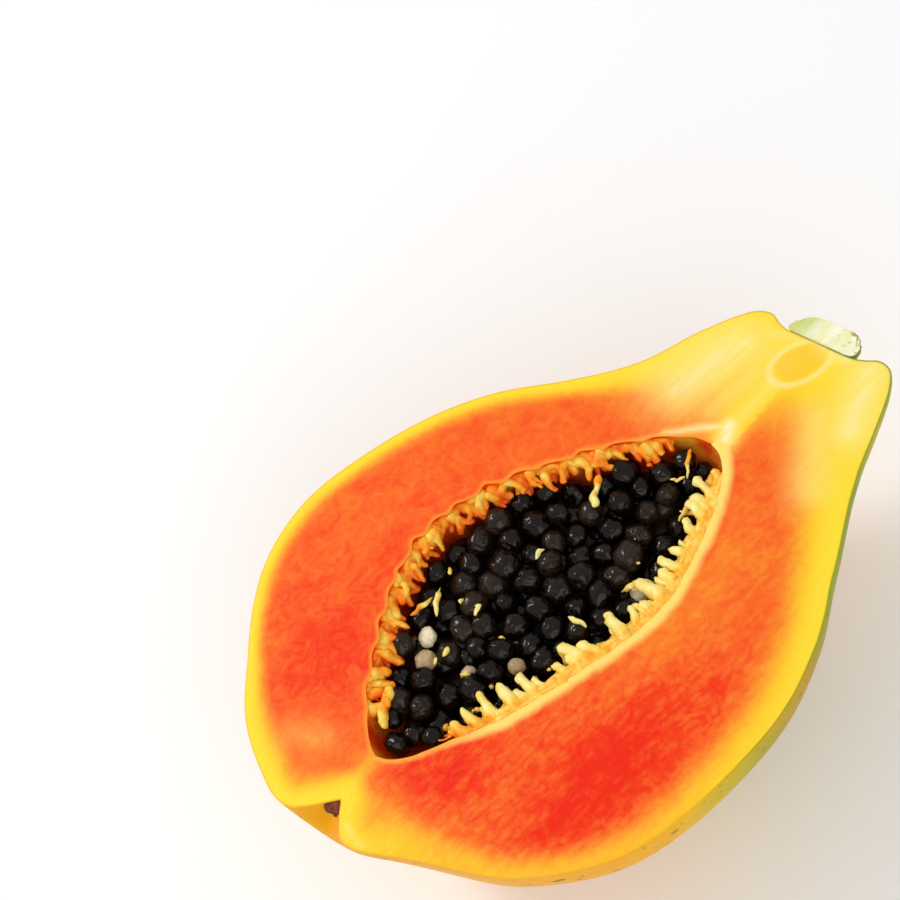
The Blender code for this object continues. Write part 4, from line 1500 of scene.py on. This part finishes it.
def make_black_seed():
    material, tree, shader = finish("seed coat")
    grain = clouds(tree, 850.0, 4.0, 0.65)
    both = calc(tree, "MULTIPLY_ADD", attribute(tree, "tone"), 0.45, calc(tree, "MULTIPLY", grain, 0.7))
    colour = ramp(tree, both, *BLACK_COAT)
    feed(tree, shader.inputs["Base Color"], colour)
    feed(tree, shader.inputs["Roughness"], remap(tree, grain, 0.3, 0.7, 0.34, 0.14))
    feed(tree, shader.inputs["Normal"], bump(tree, grain, 0.0003, 0.4))
    set_shader(shader, Specular_IOR_Level=0.12, Specular_Tint=(1.0, 0.80, 0.66, 1.0))
    set_shader(shader, Coat_Weight=0.34, Coat_Roughness=0.05)
    return material


def make_pale_seed():
    material, tree, shader = finish("pale seed")
    grain = clouds(tree, 700.0, 3.0)
    both = calc(tree, "MULTIPLY_ADD", attribute(tree, "tone"), 0.8, calc(tree, "MULTIPLY", grain, 0.4))
    colour = ramp(tree, both, *PALE_COAT)
    feed(tree, shader.inputs["Base Color"], colour)
    feed(tree, shader.inputs["Normal"], bump(tree, grain, 0.0005, 0.6))
    set_shader(shader, Roughness=0.38, Subsurface_Weight=0.2, Subsurface_Scale=0.002, Coat_Weight=0.15)
    return material


seeds.data.materials.append(counted(make_black_seed()))
pale_seeds.data.materials.append(counted(make_pale_seed()))

# %% Pulp threads and the bed under the seeds
def make_pulp():
    material, tree, shader = finish("pulp")
    # the low, orange end of this value is partly painted shade, for pulp deep in the hollow
    cream_and_depth_shade = stirred(tree, attribute(tree, "cream_and_depth_shade"), clouds(tree, 380.0, 3.0, 0.6), 0.9)
    colour = ramp(
        tree,
        cream_and_depth_shade,
        (0.0, (0.97, 0.12, 0.004)),
        (0.18, (0.99, 0.25, 0.008)),
        (0.38, (0.99, 0.45, 0.025)),
        (0.60, (0.99, 0.68, 0.11)),
        (0.85, (0.99, 0.83, 0.28)),
    )
    feed(tree, shader.inputs["Base Color"], colour)
    wet_surface(tree, shader, 1300.0, (0.24, 0.42), (0.0002, 0.4))
    set_shader(
        shader,
        Subsurface_Weight=0.06,
        Subsurface_Radius=(1.0, 0.6, 0.3),
        Subsurface_Scale=0.0005,
        Specular_IOR_Level=0.25,
        Coat_Weight=0.08,
        Coat_Roughness=0.15,
    )
    return material


def make_shaded_bed():
    material, tree, shader = finish("pulp bed in painted shade")
    patch = clouds(tree, 300.0, 3.0)
    # painted shade: near-black brown, as the slits between the seeds look in shade
    colour = ramp(tree, patch, (0.4, (0.012, 0.004, 0.002)), (0.75, (0.10, 0.018, 0.004)))
    feed(tree, shader.inputs["Base Color"], colour)
    set_shader(shader, Roughness=0.4)
    return material


pulp.data.materials.append(counted(make_pulp()))
bed.data.materials.append(counted(make_shaded_bed()))

# %% Stalk and scar
STUB_TIP = stub.bound_box[6][0]
STUB_MIDDLE = (stub.bound_box[0][1] + stub.bound_box[6][1]) / 2
STALK_CUT = [(0.3, (0.84, 0.82, 0.36)), (0.5, (0.94, 0.91, 0.58)), (0.7, (0.98, 0.96, 0.80))]
STALK_BARK = [(0.35, (0.20, 0.26, 0.02)), (0.55, (0.42, 0.50, 0.06)), (0.75, (0.62, 0.66, 0.18))]


def make_stalk():
    material, tree, shader = finish("stalk")
    place = object_place(tree)
    outside = remap(tree, place["Z"], FACE_UP - 0.4 * MM, FACE_UP - 0.9 * MM)
    fibre = clouds(tree, 500.0, 3.0, 0.6, stretch=(0.3, 1.0, 1.0))
    cut = ramp(tree, fibre, *STALK_CUT)
    far_side = remap(tree, place["Y"], STUB_MIDDLE + 1.0 * MM, STUB_MIDDLE + 7.0 * MM, 0.0, 0.75)
    cut = mix(tree, far_side, cut, (0.52, 0.62, 0.09))
    bark = ramp(tree, fibre, *STALK_BARK)
    colour = mix(tree, outside, cut, bark)
    tip = remap(tree, place["X"], STUB_TIP - 5.5 * MM, STUB_TIP)
    near_side = remap(tree, place["Y"], STUB_MIDDLE - 7.0 * MM, STUB_MIDDLE + 2.0 * MM, 1.0, 0.0)
    dry = calc(tree, "MULTIPLY_ADD", calc(tree, "MULTIPLY", tip, near_side), 0.30, clouds(tree, 900.0, 3.0))
    colour = mix(tree, remap(tree, dry, 0.68, 0.86, 0.0, 0.8), colour, (0.30, 0.17, 0.02))
    feed(tree, shader.inputs["Base Color"], colour)
    feed(tree, shader.inputs["Normal"], bump(tree, fibre, 0.0006, 0.8))
    set_shader(shader, Roughness=0.6, Subsurface_Weight=0.1, Subsurface_Scale=0.002)
    return material


def make_scar():
    material, tree, shader = finish("scar")
    grain = clouds(tree, 600.0, 4.0)
    colour = ramp(tree, grain, (0.35, (0.040, 0.006, 0.001)), (0.7, (0.26, 0.040, 0.004)))
    feed(tree, shader.inputs["Base Color"], colour)
    feed(tree, shader.inputs["Normal"], bump(tree, grain, 0.0006, 0.8))
    set_shader(shader, Roughness=0.7)
    return material


stub.data.materials.append(counted(make_stalk()))
scar.data.materials.append(counted(make_scar()))

# %% Hand every piece over
alone(half)
bpy.ops.object.shade_smooth_by_angle(angle=EDGE_ANGLE)
hand_over(half, "flesh_and_skin", "fruit_half")
hand_over(pulp, "flesh_and_skin", "fruit_half")
hand_over(scar, "flesh_and_skin", "fruit_half")
hand_over(seeds, "seed_coat", "seeds")
hand_over(pale_seeds, "seed_coat", "seeds")
hand_over(bed, "seed_coat", "seeds")
hand_over(stub, "stalk", "stem_stub")

# %% [markdown]
# ## Floor, light and camera
#
# The half lies on a plain pale floor in soft studio light: one large lamp, a weaker one from the other
# side, and a bright, even surrounding. The camera stands where the photograph was taken from.

# %% Floor
bpy.ops.object.select_all(action="DESELECT")
bpy.ops.mesh.primitive_plane_add(size=6.0)
floor = named("floor")
floor_material, _, floor_shader = finish("floor")
set_shader(floor_shader, Base_Color=(0.97, 0.97, 0.97, 1.0), Roughness=0.7, Specular_IOR_Level=0.2)
floor.data.materials.append(floor_material)
print("the fruit stands", round(CAD_BOX[0].z / MM, 3), "mm above the floor")

# %% Lights
world = bpy.data.worlds.new("studio")
bpy.context.scene.world = world
world.use_nodes = True
set_shader(world.node_tree.nodes["Background"], Color=(1.0, 1.0, 1.0, 1.0), Strength=0.64)


def soft_box(name, place, aim, size, power):
    bpy.ops.object.select_all(action="DESELECT")
    bpy.ops.object.light_add(type="AREA", location=place)
    lamp = bpy.context.object
    lamp.name = name
    lamp.data.shape = "SQUARE"
    lamp.data.size = size
    lamp.data.energy = power
    lamp.rotation_euler = (Vector(aim) - Vector(place)).to_track_quat("-Z", "Y").to_euler()


soft_box("key", (-0.30, 0.65, 0.70), (0.0, 0.0, 0.05), 0.28, 3.8)
soft_box("fill", (-0.15, -0.75, 0.65), (0.0, 0.0, 0.03), 0.8, 2.6)
print("two soft boxes and an even surrounding")

# %% Camera at the photograph's angle
LENS, SENSOR = 120.0, 36.0
AZIMUTH, ELEVATION, ROLL = math.radians(-10.0), math.radians(62.0), math.radians(34.15)
CAMERA_FROM_AXIS = Vector((-54.13, -276.94, 626.2))  # mm
PIXEL = 0.228 * MM  # the size of one pixel of the photograph, on the cut face
ROOM_BELOW = 25 * PIXEL  # the photograph crops the half's lower edge; this brings all of it into view
level = math.cos(ELEVATION)
back = Vector((math.sin(AZIMUTH) * level, -math.cos(AZIMUTH) * level, math.sin(ELEVATION)))
flat_right = (-back).cross(Vector((0.0, 0.0, 1.0))).normalized()
flat_up = flat_right.cross(-back)
right = flat_right * math.cos(ROLL) - flat_up * math.sin(ROLL)
up = flat_right * math.sin(ROLL) + flat_up * math.cos(ROLL)
bpy.ops.object.camera_add(location=(CAMERA_FROM_AXIS + HOME) * MM - up * ROOM_BELOW)
camera = bpy.context.object
camera.rotation_euler = Matrix((right, up, back)).transposed().to_euler()
camera.data.lens = LENS
camera.data.sensor_width = SENSOR
camera.data.clip_start = 0.01
bpy.context.scene.camera = camera
bpy.context.scene.view_settings.view_transform = "Standard"
print("the camera is", round(CAMERA_FROM_AXIS.length), "mm from the fruit's middle")
